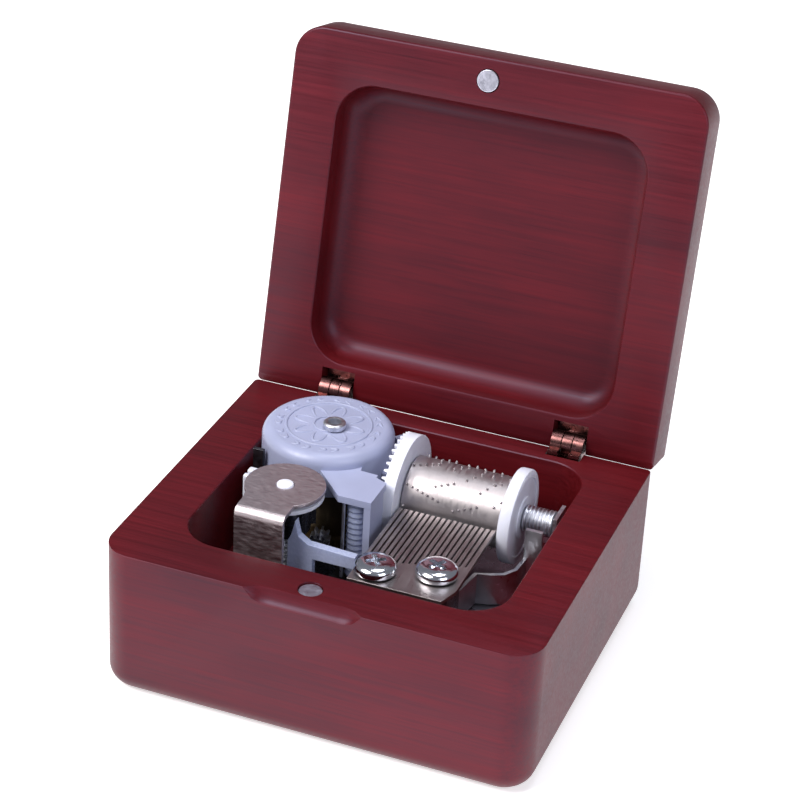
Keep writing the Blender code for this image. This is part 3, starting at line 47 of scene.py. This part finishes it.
# Sizes in millimetres, as in the CAD part.
WIDTH, DEPTH, BASE_HEIGHT, LID_HEIGHT, GAP = 90.0, 76.0, 32.7, 12.0, 0.3
OVERHANG = 3.0
CORNER, REAR_CORNER = 6.5, 1.0
POCKET = (-33.6, -27.2, 33.6, 32.6)     # left, front, right, rear
RECESS = (-34.1, -27.5, 34.1, 33.4)     # the lid's hollow, with the lid shut
POCKET_FLOOR, RECESS_DEPTH = 13.0, 8.4
POCKET_CORNER = 8.5
PIVOT_Y, PIVOT_Z, OPEN_ANGLE = 39.4, 33.62, 102.8
MAGNET = (-2.0, -33.2)
MAGNET_RADIUS = 2.5
HINGES = (-26.4, 26.4)
HINGE_HALF = 3.8
HINGE_FRONT, HINGE_REAR = 34.7, 42.0
FIXINGS = ((-23.0, -17.6), (20.5, -17.6), (20.5, 21.0))
COMB_SCREWS = ((4.9, -16.6), (16.4, -12.9))
NOTCH_X, NOTCH_HALF = -1.8, 12.2
SPRING = (-17.6, 16.0)
CYLINDER_Y, CYLINDER_Z = 16.0, 28.2
HOUSING = (-19.2, 16.9)
HOUSING_TOP, HOUSING_BOTTOM, HOUSING_RADIUS = 38.7, 29.3, 13.85
FLY = (-18.7, -7.0)


# ---- Mesh helpers: everything is written in millimetres and scaled at the end -------------
def finish_mesh(name, mesh_data, angle=32):
    bmesh.ops.recalc_face_normals(mesh_data, faces=mesh_data.faces)
    bmesh.ops.scale(mesh_data, vec=(MM,) * 3, verts=mesh_data.verts)
    mesh = bpy.data.meshes.new(name)
    mesh_data.to_mesh(mesh)
    mesh_data.free()
    mesh.shade_smooth()
    mesh.set_sharp_from_angle(angle=math.radians(angle))
    made = bpy.data.objects.new(name, mesh)
    bpy.context.collection.objects.link(made)
    return made


def skin(rings, close_ends=True, closed=False):
    """Faces between rings of points that have equal numbers of points."""
    mesh_data = bmesh.new()
    made = [[mesh_data.verts.new(point) for point in ring] for ring in rings]
    pairs = list(zip(made, made[1:]))
    if closed:
        pairs.append((made[-1], made[0]))
    for first, second in pairs:
        for i in range(len(first)):
            j = (i + 1) % len(first)
            mesh_data.faces.new((first[i], first[j], second[j], second[i]))
    if close_ends and not closed:
        mesh_data.faces.new(list(reversed(made[0])))
        mesh_data.faces.new(made[-1])
    return mesh_data


def loft(rows):
    return skin([[(x, y, z) for x, y in points] for z, points in rows])


def lathe(profile, sides=96, phase=0.0):
    """Turned body; radii may be 0 at either end, or the profile is a closed loop."""
    closed = profile[0][0] > 1e-6
    rings = []
    for radius, height in profile:
        radius = max(radius, 1e-3)
        rings.append([(radius * math.cos(2 * math.pi * i / sides + phase),
                       radius * math.sin(2 * math.pi * i / sides + phase), height) for i in range(sides)])
    return skin(rings, closed=closed)


def arc(centre, radius, start, end, steps):
    points = []
    for i in range(steps + 1):
        angle = math.radians(start + (end - start) * i / steps)
        points.append((centre[0] + radius * math.cos(angle), centre[1] + radius * math.sin(angle)))
    return points


def rounded(left, front, right, rear, radii, steps=14):
    corners = (((left, front), (1, 1), 180), ((right, front), (-1, 1), 270),
               ((right, rear), (-1, -1), 0), ((left, rear), (1, -1), 90))
    outline = []
    for ((x, y), (sx, sy), start), radius in zip(corners, radii):
        outline += arc((x + sx * radius, y + sy * radius), radius, start, start + 90, steps)
    return outline


def box_outline(inset=0.0, overhang=0.0):
    front = max(CORNER - inset, 0.4)
    rear = max(REAR_CORNER - inset, 0.4)
    return rounded(-WIDTH / 2 + inset, -DEPTH / 2 + inset, WIDTH / 2 - inset, DEPTH / 2 + overhang - inset,
                   (front, front, rear, rear))


def inner_outline(box, corner, inset):
    return rounded(box[0] + inset, box[1] + inset, box[2] - inset, box[3] - inset, (corner - inset,) * 4)


def quarter(radius, steps):
    """(inset, drop) pairs that round an edge over."""
    turns = [math.pi / 2 * i / steps for i in range(steps + 1)]
    return [(radius * (1 - math.cos(turn)), radius * (1 - math.sin(turn))) for turn in turns]


def slab(low, high):
    x0, y0, z0 = low
    x1, y1, z1 = high
    outline = [(x0, y0), (x1, y0), (x1, y1), (x0, y1)]
    return loft([(z0, outline), (z1, outline)])


def moved(mesh_data, location=(0, 0, 0), rotation=(0, 0, 0)):
    turn = Matrix.Translation(location) @ Euler(rotation).to_matrix().to_4x4()
    bmesh.ops.transform(mesh_data, matrix=turn, verts=mesh_data.verts)
    return mesh_data


def carve(made, cutters, operation='DIFFERENCE'):
    """Boolean with each cutter in turn, baked into the mesh."""
    for i, mesh_data in enumerate(cutters):
        helper = finish_mesh(f"{made.name}_helper_{i}", mesh_data)
        step = made.modifiers.new(f"step_{i}", 'BOOLEAN')
        step.operation = operation
        step.solver = 'EXACT'
        step.object = helper
        bpy.context.view_layer.update()
        baked = bpy.data.meshes.new_from_object(made.evaluated_get(bpy.context.evaluated_depsgraph_get()))
        made.modifiers.clear()
        made.data = baked
        bpy.data.objects.remove(helper)
    return made


def weigh(made):
    """Normals that follow the large faces, so broad flats stay flat."""
    step = made.modifiers.new("weigh", 'WEIGHTED_NORMAL')
    step.keep_sharp = True
    step.weight = 100


def soften(made, width, angle=32, segments=2):
    """Small rounding of every crisp edge."""
    mesh_data = bmesh.new()
    mesh_data.from_mesh(made.data)
    bmesh.ops.remove_doubles(mesh_data, verts=mesh_data.verts, dist=2e-6)
    bmesh.ops.dissolve_limit(mesh_data, angle_limit=math.radians(0.6), verts=mesh_data.verts,
                             edges=mesh_data.edges)
    edges = [e for e in mesh_data.edges
             if len(e.link_faces) == 2 and e.calc_face_angle(0) > math.radians(angle)]
    bmesh.ops.bevel(mesh_data, geom=edges, offset=width * MM, segments=segments, profile=0.5,
                    affect='EDGES', clamp_overlap=True)
    mesh_data.to_mesh(made.data)
    mesh_data.free()
    made.data.shade_smooth()
    made.data.set_sharp_from_angle(angle=math.radians(angle))
    weigh(made)
    return made


def piece(made, surface, body, nodes=()):
    made.data.materials.clear()
    made.data.materials.append(surface)
    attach(made, body)
    if nodes:
        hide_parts(*nodes)
    return made


def refined(node, surface, body, width=0.12, segments=2, angle=32):
    """The CAD node's shape with its crisp edges rounded."""
    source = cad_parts[node]
    made = bpy.data.objects.new("fine_" + node, source.data.copy())
    bpy.context.collection.objects.link(made)
    soften(made, width, angle, segments)
    return piece(made, surface, body, (node,))


# ---- Materials -----------------------------------------------------------------------------
class Surface:
    """A Principled material built up from a few named nodes."""

    def __init__(self, name, colour, roughness, metallic=0.0, **sockets):
        self.material = bpy.data.materials.new(name)
        self.material.use_nodes = True
        self.tree = self.material.node_tree
        self.shader = self.tree.nodes["Principled BSDF"]
        self.set("Base Color", (*colour, 1.0))
        self.set("Roughness", roughness)
        self.set("Metallic", metallic)
        for socket, value in sockets.items():
            self.set(socket.replace("_", " "), value)

    def set(self, socket, value):
        self.shader.inputs[socket].default_value = value

    def node(self, kind, **values):
        made = self.tree.nodes.new(kind)
        for name, value in values.items():
            made.inputs[name].default_value = value
        return made

    def link(self, source, target):
        self.tree.links.new(source, target)

    def coordinates(self, scale):
        place = self.tree.nodes.new("ShaderNodeTexCoord")
        mapping = self.node("ShaderNodeMapping", Scale=scale)
        self.link(place.outputs["Object"], mapping.inputs["Vector"])
        return mapping.outputs["Vector"]

    def noise(self, scale, stretch=(1, 1, 1), detail=4.0, roughness=0.55):
        made = self.node("ShaderNodeTexNoise", Scale=scale, Detail=detail, Roughness=roughness)
        self.link(self.coordinates(stretch), made.inputs["Vector"])
        return made.outputs["Fac"]

    def ramp(self, factor, stops):
        made = self.tree.nodes.new("ShaderNodeValToRGB")
        band = made.color_ramp
        while len(band.elements) < len(stops):
            band.elements.new(0.5)
        for element, (position, colour) in zip(band.elements, stops):
            element.position = position
            element.color = (*colour, 1.0) if len(colour) == 3 else colour
        self.link(factor, made.inputs["Fac"])
        return made.outputs["Color"]

    def grey(self, factor, low, high, start=0.3, end=0.7):
        return self.ramp(factor, ((start, (low,) * 3), (end, (high,) * 3)))

    def mix(self, factor, first, second, blend='MIX'):
        made = self.tree.nodes.new("ShaderNodeMix")
        made.data_type = 'RGBA'
        made.blend_type = blend
        for socket, value in ((made.inputs[0], factor), (made.inputs[6], first), (made.inputs[7], second)):
            if isinstance(value, (int, float)):
                socket.default_value = value
            elif isinstance(value, tuple):
                socket.default_value = (*value, 1.0)
            else:
                self.link(value, socket)
        return made.outputs[2]

    def bump(self, height, strength, distance=0.0001):
        made = self.node("ShaderNodeBump", Strength=strength, Distance=distance)
        self.link(height, made.inputs["Height"])
        self.link(made.outputs["Normal"], self.shader.inputs["Normal"])
        return self

    def wire(self, socket, source):
        self.link(source, self.shader.inputs[socket])
        return self


def wood(name, dark, light, coat):
    """Red-stained timber under satin lacquer, with the grain along X."""
    made = Surface(name, light, 0.42, Coat_Weight=coat, Coat_Roughness=0.3, Coat_IOR=1.4,
                   Specular_IOR_Level=0.36, Specular_Tint=(0.7, 0.66, 1.0, 1.0))
    broad = made.noise(45, (0.5, 1.6, 1.6), 3.0)
    fine = made.noise(700, (0.045, 2.2, 2.2), 4.0, 0.6)
    pores = made.noise(2600, (0.03, 1.4, 1.4), 2.0, 0.6)
    tone = made.ramp(broad, ((0.3, dark), (0.7, light)))
    tone = made.mix(0.7, tone, made.grey(fine, 0.62, 1.16, 0.32, 0.68), 'MULTIPLY')
    tone = made.mix(0.5, tone, made.grey(pores, 0.6, 1.0, 0.3, 0.42), 'MULTIPLY')
    made.wire("Base Color", tone)
    made.wire("Roughness", made.grey(fine, 0.4, 0.55))
    made.bump(fine, 0.25, 0.00006)
    return made.material


def metal(name, colour, roughness, stretch=(1, 1, 1), grain=900, wear=0.25, strength=0.05):
    made = Surface(name, colour, roughness, 1.0)
    marks = made.noise(grain, stretch, 4.0, 0.6)
    cloud = made.noise(160, (1, 1, 1), 3.0)
    dark = tuple(c * (1 - wear) for c in colour)
    made.wire("Base Color", made.ramp(cloud, ((0.3, dark), (0.65, colour))))
    made.wire("Roughness", made.grey(marks, roughness * 0.75, min(1.0, roughness * 1.35)))
    made.bump(marks, strength, 0.00003)
    return made.material


def plastic(name, colour, roughness, depth=0.2, grain=1400, shade=0.9):
    made = Surface(name, colour, roughness, Subsurface_Weight=depth, Subsurface_Scale=0.0015,
                   Subsurface_Radius=(0.8, 0.8, 1.0), Specular_IOR_Level=0.5)
    cloud = made.noise(90, (1, 1, 1), 2.0)
    made.wire("Base Color", made.ramp(cloud, ((0.35, tuple(c * shade for c in colour)), (0.65, colour))))
    marks = made.noise(grain, (1, 1, 1), 2.0)
    made.wire("Roughness", made.grey(marks, roughness * 0.85, roughness * 1.2))
    made.bump(marks, 0.05, 0.00003)
    return made.material


WOOD = wood("mahogany_lacquer", (0.07, 0.0018, 0.0026), (0.112, 0.003, 0.004), 0.15)
BRONZE = metal("bronze_hinge", (0.22, 0.1, 0.095), 0.28)
MAGNET_METAL = metal("nickel_magnet", (0.7, 0.7, 0.82), 0.34)
CAST = metal("cast_bedplate", (0.30, 0.31, 0.34), 0.3, grain=500)
COMB_STEEL = metal("comb_steel", (0.46, 0.42, 0.42), 0.36, (6, 0.2, 1), 700)
STEEL = metal("bright_steel", (0.74, 0.75, 0.8), 0.36)
SPRING_STEEL = metal("spring_steel", (0.14, 0.14, 0.16), 0.35)
ZINC = metal("bright_zinc", (0.86, 0.88, 0.93), 0.14, wear=0.12)
NICKEL = metal("nickel_plate", (0.66, 0.58, 0.6), 0.4, (0.3, 3, 1), 1500, 0.04, 0.01)
# Brass darkened far below its own colour: painted shade for the gear in the dark under the spring housing.
BRASS = metal("brass_gear_painted_shade", (0.16, 0.12, 0.07), 0.4)
DRUM = metal("drum_metal", (0.5, 0.46, 0.47), 0.42, (4, 0.4, 0.4), 600, 0.08, 0.02)
LAVENDER = plastic("lavender_plastic", (0.37, 0.40, 0.57), 0.36, 0.1)
WHITE = plastic("white_plastic", (0.80, 0.82, 0.93), 0.34)
CLEAR = plastic("milky_plastic", (0.42, 0.47, 0.66), 0.26, 0.35)
BLACK = plastic("black_plastic", (0.012, 0.012, 0.016), 0.25, 0.0)


# ---- Wooden box ------------------------------------------------------------------------------
def notch_cutter():
    rings = []
    count = 14
    front = -DEPTH / 2
    for i in range(count + 1):
        offset = NOTCH_HALF * (2 * i / count - 1)
        edge = min(1.0, (NOTCH_HALF - abs(offset)) / 2.6)
        share = max(0.02, edge * edge * (3 - 2 * edge))
        drop, depth = 2.7 * share, 1.9 * share
        profile = [(front - 1, BASE_HEIGHT + 1), (front - 1, BASE_HEIGHT - drop)]
        profile += [(front + depth * t, BASE_HEIGHT - drop * (1 - t ** 1.6)) for t in (0, 0.25, 0.5, 0.75, 1)]
        profile.append((front + depth, BASE_HEIGHT + 1))
        rings.append([(NOTCH_X + offset, y, z) for y, z in profile])
    return skin(rings)


def build_base():
    rows = [(drop, box_outline(inset)) for inset, drop in reversed(quarter(4.5, 10))]
    rows += [(BASE_HEIGHT - drop, box_outline(inset)) for inset, drop in quarter(0.15, 3)]
    made = finish_mesh("wooden_base", loft(rows))
    pocket = [(POCKET_FLOOR, inner_outline(POCKET, POCKET_CORNER, 0.9)),
              (POCKET_FLOOR + 0.9, inner_outline(POCKET, POCKET_CORNER, 0))]
    for angle in (0, 0.52, 1.05, math.pi / 2):
        flare, drop = 0.5 * (1 - math.cos(angle)), 0.5 * (1 - math.sin(angle))
        pocket.append((BASE_HEIGHT - drop, inner_outline(POCKET, POCKET_CORNER, -flare)))
    pocket.append((BASE_HEIGHT + 1, inner_outline(POCKET, POCKET_CORNER, -0.5)))
    seat = [(0, BASE_HEIGHT - 3.6), (MAGNET_RADIUS, BASE_HEIGHT - 3.6), (MAGNET_RADIUS, BASE_HEIGHT - 0.15),
            (MAGNET_RADIUS + 0.15, BASE_HEIGHT + 1), (0, BASE_HEIGHT + 1)]
    cutters = [loft(pocket), notch_cutter(), moved(lathe(seat, 48), (*MAGNET, 0)),
               moved(lathe([(0, -1), (14, -1), (14, 10.3), (0, 10.3)], 96), (*SPRING, 0)),
               moved(lathe([(0, 0), (2.7, 0), (2.7, 30), (0, 30)], 32), (*SPRING, 0))]
    for x, y in FIXINGS:
        cutters.append(moved(lathe([(0, -1), (3.3, -1), (3.3, 10.3), (0, 10.3)], 40), (x, y, 0)))
        cutters.append(moved(lathe([(0, 5), (1.45, 5), (1.45, 30), (0, 30)], 24), (x, y, 0)))
    for x in HINGES:
        cutters.append(slab((x - HINGE_HALF, HINGE_FRONT, BASE_HEIGHT - 9.5),
                            (x + HINGE_HALF, HINGE_REAR, BASE_HEIGHT + 1.3)))
    carve(made, cutters)
    made.data.shade_smooth()
    made.data.set_sharp_from_angle(angle=math.radians(28))
    piece(made, WOOD, "base", ("base_box",))


def build_lid():
    bottom = BASE_HEIGHT + GAP
    rows = [(bottom + drop, box_outline(inset, OVERHANG)) for inset, drop in reversed(quarter(0.56, 4))]
    rows += [(bottom + LID_HEIGHT - drop, box_outline(inset, OVERHANG)) for inset, drop in quarter(2.3, 7)]
    made = finish_mesh("wooden_lid", loft(rows))
    recess = [(bottom - 1, inner_outline(RECESS, POCKET_CORNER, -0.5))]
    recess += [(bottom + drop, inner_outline(RECESS, POCKET_CORNER, -inset))
               for inset, drop in ((0.5, 0.0), (0.25, 0.07), (0.07, 0.25), (0.0, 0.5))]
    for inset, drop in quarter(4.5, 10):
        recess.append((bottom + RECESS_DEPTH - drop, inner_outline(RECESS, POCKET_CORNER, inset)))
    rear = DEPTH / 2 + OVERHANG
    chamfer = [[(x, rear - 4.37, bottom - 1), (x, rear + 1, bottom - 1), (x, rear + 1, bottom + 1.09)]
               for x in (-50, 50)]
    seat = [(0, bottom - 1), (MAGNET_RADIUS, bottom - 1), (MAGNET_RADIUS, bottom + 3), (0, bottom + 3)]
    cutters = [loft(recess), skin(chamfer), moved(lathe(seat, 48), (*MAGNET, 0))]
    for x in HINGES:
        cutters.append(slab((x - HINGE_HALF, HINGE_FRONT, bottom - 1),
                            (x + HINGE_HALF, HINGE_REAR, bottom + 9)))
    carve(made, cutters)
    made.data.shade_smooth()
    made.data.set_sharp_from_angle(angle=math.radians(28))
    pivot = Vector((0, PIVOT_Y * MM, PIVOT_Z * MM))
    turn = Matrix.Rotation(-math.radians(OPEN_ANGLE), 4, 'X')
    made.data.transform(Matrix.Translation(pivot) @ turn @ Matrix.Translation(-pivot))
    piece(made, WOOD, "lid", ("lid",))


# ---- Spring housing ---------------------------------------------------------------------------
def build_housing():
    rows = [(HOUSING_BOTTOM, arc((0, 0), HOUSING_RADIUS, 0, 357, 119))]
    for inset, drop in quarter(2.4, 10):
        rows.append((HOUSING_TOP - 0.1 - drop, arc((0, 0), HOUSING_RADIUS - inset, 0, 357, 119)))
    dome = finish_mesh("housing_dome", moved(loft(rows), (*HOUSING, 0)))
    carve(dome, [moved(lathe([(0, 0), (11.2, 0), (11.2, 36.8), (0, 36.8)]), (*SPRING, 0)),
                 moved(lathe([(0, 30), (2.05, 30), (2.05, 45), (0, 45)], 48), (*SPRING, 0))])
    dome.data.shade_smooth()
    dome.data.set_sharp_from_angle(angle=math.radians(32))
    piece(dome, LAVENDER, "base", ("spring_housing",))

    deck = [(-17.2, 5.4), (-8.5, -3.9), (-1.4, -3.9), (-1.4, 4.6), (-4.1, 5.8), (-4.1, 6.8), (-7.9, 7.0),
            (-9.2, 12.0)]
    bridge = finish_mesh("housing_bridge", loft([(34.15, deck), (35.7, deck)]))
    carve(bridge, [slab((-2.9, -3.8, 15.9), (-1.45, 3.3, 35.3))], 'UNION')
    soften(bridge, 0.3, 30, 3)
    piece(bridge, LAVENDER, "base", ())
    for i, bearing in enumerate((50, 135)):
        turn = math.radians(bearing)
        x, y = SPRING[0] + 16.3 * math.cos(turn), SPRING[1] + 16.3 * math.sin(turn)
        shape = moved(slab((-1.1, -1.6, 15.9), (1.4, 1.6, 32.2)), (x, y, 0), (0, 0, turn))
        foot = finish_mesh(f"housing_foot_{i + 1}", shape)
        soften(foot, 0.3)
        piece(foot, LAVENDER, "base", ())
    edge = HOUSING[0] + HOUSING_RADIUS
    lug = finish_mesh("cylinder_lug", slab((edge - 0.95, CYLINDER_Y - 2.6, CYLINDER_Z - 2.6),
                                           (edge + 0.6, CYLINDER_Y + 2.6, HOUSING_BOTTOM + 2.9)))
    soften(lug, 0.25)
    piece(lug, LAVENDER, "base", ())


def raised_line(path, width, height, top):
    """Low ridge along a path of (x, y) points, with a rounded section."""
    rings = []
    for i, (x, y) in enumerate(path):
        before, after = path[max(i - 1, 0)], path[min(i + 1, len(path) - 1)]
        along = Vector((after[0] - before[0], after[1] - before[1])).normalized()
        end = min(i, len(path) - 1 - i)
        share = min(1.0, 0.35 + end * 0.35) if path[0] != path[-1] else 1.0
        ring = []
        for k in range(7):
            angle = math.pi * k / 6
            side = math.cos(angle) * width / 2 * share
            rise = math.sin(angle) * height * share
            ring.append((x - along.y * side, y + along.x * side, top - 0.05 + rise))
        rings.append(ring)
    return skin(rings)


def build_ornament():
    """Plain rosette: two rings with petals between them and a garland of strokes outside."""
    top = HOUSING_TOP - 0.12
    shapes = []
    for radius, width in ((8.9, 0.5), (3.1, 0.35)):
        circle = [(radius * math.cos(2 * math.pi * i / 96), radius * math.sin(2 * math.pi * i / 96))
                  for i in range(97)]
        shapes.append(raised_line(circle, width * 1.3, 0.36, top))
    for k in range(8):
        turn = 2 * math.pi * k / 8
        petal = []
        for i in range(13):
            t = i / 12
            radius = 4.1 + 3.5 * math.sin(math.pi * t)
            angle = turn + (t - 0.5) * 0.62
            petal.append((radius * math.cos(angle), radius * math.sin(angle)))
        shapes.append(raised_line(petal, 0.65, 0.34, top))
    for k in range(22):
        turn = 2 * math.pi * k / 22
        stroke = []
        for i in range(7):
            t = i / 6
            radius = 9.75 + 1.4 * t
            angle = turn + 0.13 * math.sin(math.pi * t) + 0.05 * (k % 2)
            stroke.append((radius * math.cos(angle), radius * math.sin(angle)))
        shapes.append(raised_line(stroke, 0.75, 0.36, top))
    for i, mesh_data in enumerate(shapes):
        made = finish_mesh(f"housing_ornament_{i + 1}", moved(mesh_data, (*HOUSING, 0)), 60)
        piece(made, LAVENDER, "base", ())


# ---- Cylinder ------------------------------------------------------------------------------------
def along_x(mesh_data, x):
    return moved(mesh_data, (x, CYLINDER_Y, CYLINDER_Z), (0, math.pi / 2, 0))


def build_cylinder():
    bore, radius, length, edge = 1.2, 7.5, 21.3, 0.25
    profile = [(bore, 0), (radius - edge, 0), (radius, edge), (radius, length - edge),
               (radius - edge, length), (bore, length)]
    drum = lathe(profile, 128)
    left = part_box("music_cylinder")[0].x / MM
    piece(finish_mesh("drum", along_x(drum, left)), DRUM, "cylinder", ("music_cylinder",))
    pins = bmesh.new()
    for track in range(18):
        x = 0.69 + 1.18 * track
        for note in range(7):
            seed = (track * 37 + note * 61 + track * note * 13) % 97
            angle = 2 * math.pi * (note + seed / 97 * 0.9) / 7 + 0.11 * track
            rings = []
            for radius, height in ((0.27, 7.35), (0.25, 7.9), (0.14, 8.05)):
                rings.append([(radius * math.cos(math.pi / 4 * k), radius * math.sin(math.pi / 4 * k), height)
                              for k in range(8)])
            pin = moved(skin(rings), (0, 0, 0), (0, math.pi / 2, 0))
            moved(pin, (0, 0, x), (0, 0, angle))
            scratch = bpy.data.meshes.new("pin")
            pin.to_mesh(scratch)
            pin.free()
            pins.from_mesh(scratch)
            bpy.data.meshes.remove(scratch)
    piece(finish_mesh("drum_pins", along_x(pins, left)), DRUM, "cylinder", ())

    cap_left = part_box("cylinder_end_cap")[0].x / MM
    cap = [(1.2, 0), (9.5, 0), (9.85, 0.15), (9.98, 0.5), (9.98, 2.2), (9.85, 2.55), (9.5, 2.7), (8.4, 2.7),
           (8.2, 2.45), (4.4, 2.45), (4.2, 2.7), (1.2, 2.7)]
    piece(finish_mesh("end_cap", along_x(lathe(cap, 128), cap_left)), WHITE, "cylinder",
          ("cylinder_end_cap",))


# ---- Screws, magnets, governor ------------------------------------------------------------------
def cross(reach, width, bottom, top):
    outline = [(reach, -width), (reach, width), (width, width), (width, reach), (-width, reach),
               (-width, width), (-reach, width), (-reach, -width), (-width, -width), (-width, -reach),
               (width, -reach), (width, -width)]
    small = [(x * 0.7, y * 0.7) for x, y in outline]
    return loft([(bottom, small), (top, outline)])


def build_screws():
    for i, (x, y) in enumerate(COMB_SCREWS):
        low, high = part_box(f"comb_screw_{i + 1}")
        seat, crown = high.z / MM - 2.3, high.z / MM
        profile = [(0, low.z / MM), (1.5, low.z / MM), (1.5, seat), (4.1, seat), (4.3, seat + 0.2),
                   (4.3, seat + 0.9), (4.2, seat + 1.3), (3.85, seat + 1.75), (3.2, seat + 2.08),
                   (2.2, seat + 2.25), (1.0, crown), (0, crown)]
        screw = finish_mesh(f"pan_screw_{i + 1}", lathe(profile, 80))
        carve(screw, [cross(2.3, 0.55, crown - 1.3, crown + 0.5)])
        soften(screw, 0.08, 40)
        turn = Matrix.Rotation(0.6 + 0.45 * i, 4, 'Z')
        screw.data.transform(Matrix.Translation((x * MM, y * MM, 0)) @ turn)
        piece(screw, ZINC, "base", (f"comb_screw_{i + 1}",))


def build_governor():
    low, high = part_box("governor_bracket")
    top, thickness = high.z / MM, 0.9
    front, bend, foot = -19.3, 1.9, low.z / MM
    outer = [(front, foot)] + [(y, z) for y, z in arc((front + bend, top - bend), bend, 180, 90, 12)]
    inner = [(y, z) for y, z in arc((front + bend, top - bend), bend - thickness, 90, 180, 12)]
    profile = outer + [(-6.0, top), (-6.0, top - thickness)] + inner
    profile += [(front + thickness, foot + thickness), (front + 4.6, foot + thickness), (front + 4.6, foot)]
    strap = finish_mesh("governor_strap", skin([[(x, y, z) for y, z in profile] for x in (-24.4, -13.9)]))
    disc = lathe([(0, top - thickness), (8.2, top - thickness), (8.2, top), (0, top)], 128)
    neck = [(-26.2, -9.6), (-24.9, -12.4), (-24.4, -15.5), (-20, -15.5), (-20, -9.6)]
    carve(strap, [moved(disc, (*FLY, 0)), loft([(top - thickness, neck), (top, neck)])], 'UNION')
    carve(strap, [moved(lathe([(0, 30), (1.9, 30), (1.9, 45), (0, 45)], 48), (*FLY, 0))])
    soften(strap, 0.12, 32, 2)
    piece(strap, NICKEL, "base", ("governor_bracket",))
    base, peak = (v.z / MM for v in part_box("pivot_bearing"))
    dot = lathe([(0, base), (1.75, base), (1.75, top), (1.6, peak - 0.18), (1.2, peak), (0, peak)], 48)
    piece(finish_mesh("pivot_dot", moved(dot, (*FLY, 0))), WHITE, "base", ("pivot_bearing",))


def build_rest():
    plan = {
        "base": {
            "bedplate": (CAST, "cast_plate", 0.3), "comb": (COMB_STEEL, "comb_steel", 0.07),
            "base_magnet": (MAGNET_METAL, "magnet", 0.2), "hinge_fork_left": (BRONZE, "bronze", 0.2),
            "hinge_fork_right": (BRONZE, "bronze", 0.2), "hinge_pin_left": (BRONZE, "bronze", 0.1),
            "hinge_pin_right": (BRONZE, "bronze", 0.1), "housing_clip": (SPRING_STEEL, "spring_steel", 0.1),
            "bridge_pin": (STEEL, "steel", 0.05), "cylinder_bracket": (STEEL, "steel", 0.1),
            "bracket_screw": (ZINC, "screw_zinc", 0.1), "fixing_screw_1": (ZINC, "screw_zinc", 0.1),
            "fixing_screw_2": (ZINC, "screw_zinc", 0.1), "fixing_screw_3": (ZINC, "screw_zinc", 0.1),
            "governor_frame": (CLEAR, "clear_plastic", 0.2), "ribbed_post": (CLEAR, "clear_plastic", 0.05),
            "governor_post": (WHITE, "white_plastic", 0.4)},
        "lid": {
            "lid_magnet": (MAGNET_METAL, "magnet", 0.2), "hinge_tongue_left": (BRONZE, "bronze", 0.15),
            "hinge_tongue_right": (BRONZE, "bronze", 0.15)},
        "cylinder": {
            "cylinder_gear": (WHITE, "white_plastic", 0.05), "cylinder_arbor": (STEEL, "steel", 0.1),
            "arbor_spring": (STEEL, "steel", 0.08)},
        "barrel": {"drive_gear": (BRASS, "brass", 0.05), "mainspring": (SPRING_STEEL, "spring_steel", 0.03)},
        "wheel": {
            "worm_wheel": (BLACK, "black_plastic", 0.05), "wheel_pinion": (STEEL, "steel", 0.05),
            "wheel_arbor": (STEEL, "steel", 0.05)},
        "fly": {
            "worm": (STEEL, "steel", 0.03), "fly_fan": (BLACK, "black_plastic", 0.1),
            "fly_disc": (WHITE, "white_plastic", 0.15), "fly_shaft": (STEEL, "steel", 0.05)},
        "key": {"winding_key": (ZINC, "screw_zinc", 0.3), "winding_arbor": (STEEL, "steel", 0.1)},
    }
    for body, nodes in plan.items():
        for node, (surface, slot_name, width) in nodes.items():
            refined(node, surface, body, width)


# ---- Studio -----------------------------------------------------------------------------------------
def build_stage():
    floor = finish_mesh("floor", slab((-4000, -4000, -20), (4000, 4000, -0.05)))
    paper = Surface("white_paper", (0.93, 0.93, 0.93), 0.9, Specular_IOR_Level=0.1)
    paper.set("Emission Color", (1.0, 1.0, 1.0, 1.0))
    paper.set("Emission Strength", 0.55)
    floor.data.materials.append(paper.material)

    world = bpy.data.worlds.new("studio")
    bpy.context.scene.world = world
    world.use_nodes = True
    back = world.node_tree.nodes["Background"]
    back.inputs["Color"].default_value = (0.84, 0.87, 1.0, 1.0)
    back.inputs["Strength"].default_value = 0.2

    for name, place, target, size, power, colour in (
            ("key", (-0.42, -0.42, 0.72), (0, 0, 0.03), 0.5, 9.5, (1.0, 0.97, 0.95)),
            ("fill", (0.7, -0.45, 0.5), (0, 0, 0.03), 0.5, 3.0, (0.88, 0.9, 1.0)),
            ("top", (0.05, 0.12, 0.85), (0, 0, 0.03), 0.35, 2.5, (0.93, 0.95, 1.0))):
        light = bpy.data.lights.new(name, 'AREA')
        light.size = size
        light.energy = power
        light.color = colour
        lamp = bpy.data.objects.new(name, light)
        bpy.context.collection.objects.link(lamp)
        lamp.location = place
        lamp.rotation_euler = (Vector(target) - Vector(place)).to_track_quat('-Z', 'Y').to_euler()


def build_camera():
    data = bpy.data.cameras.new("camera")
    data.sensor_width = 36.0
    data.lens = 115.74
    data.clip_start = 0.01
    camera = bpy.data.objects.new("camera", data)
    bpy.context.collection.objects.link(camera)
    right = Vector((0.93144, 0.36085, 0.04686)).normalized()
    back = Vector((0.29317, -0.82049, 0.49077)).normalized()
    up = back.cross(right).normalized()
    turn = Matrix((right, up, back)).transposed()
    camera.matrix_world = Matrix.Translation((0.14999, -0.41366, 0.30573)) @ turn.to_4x4()
    bpy.context.scene.camera = camera


build_base()
build_lid()
build_housing()
build_ornament()
build_cylinder()
build_screws()
build_governor()
build_rest()
build_stage()
build_camera()
bpy.context.scene.view_settings.view_transform = 'Standard'
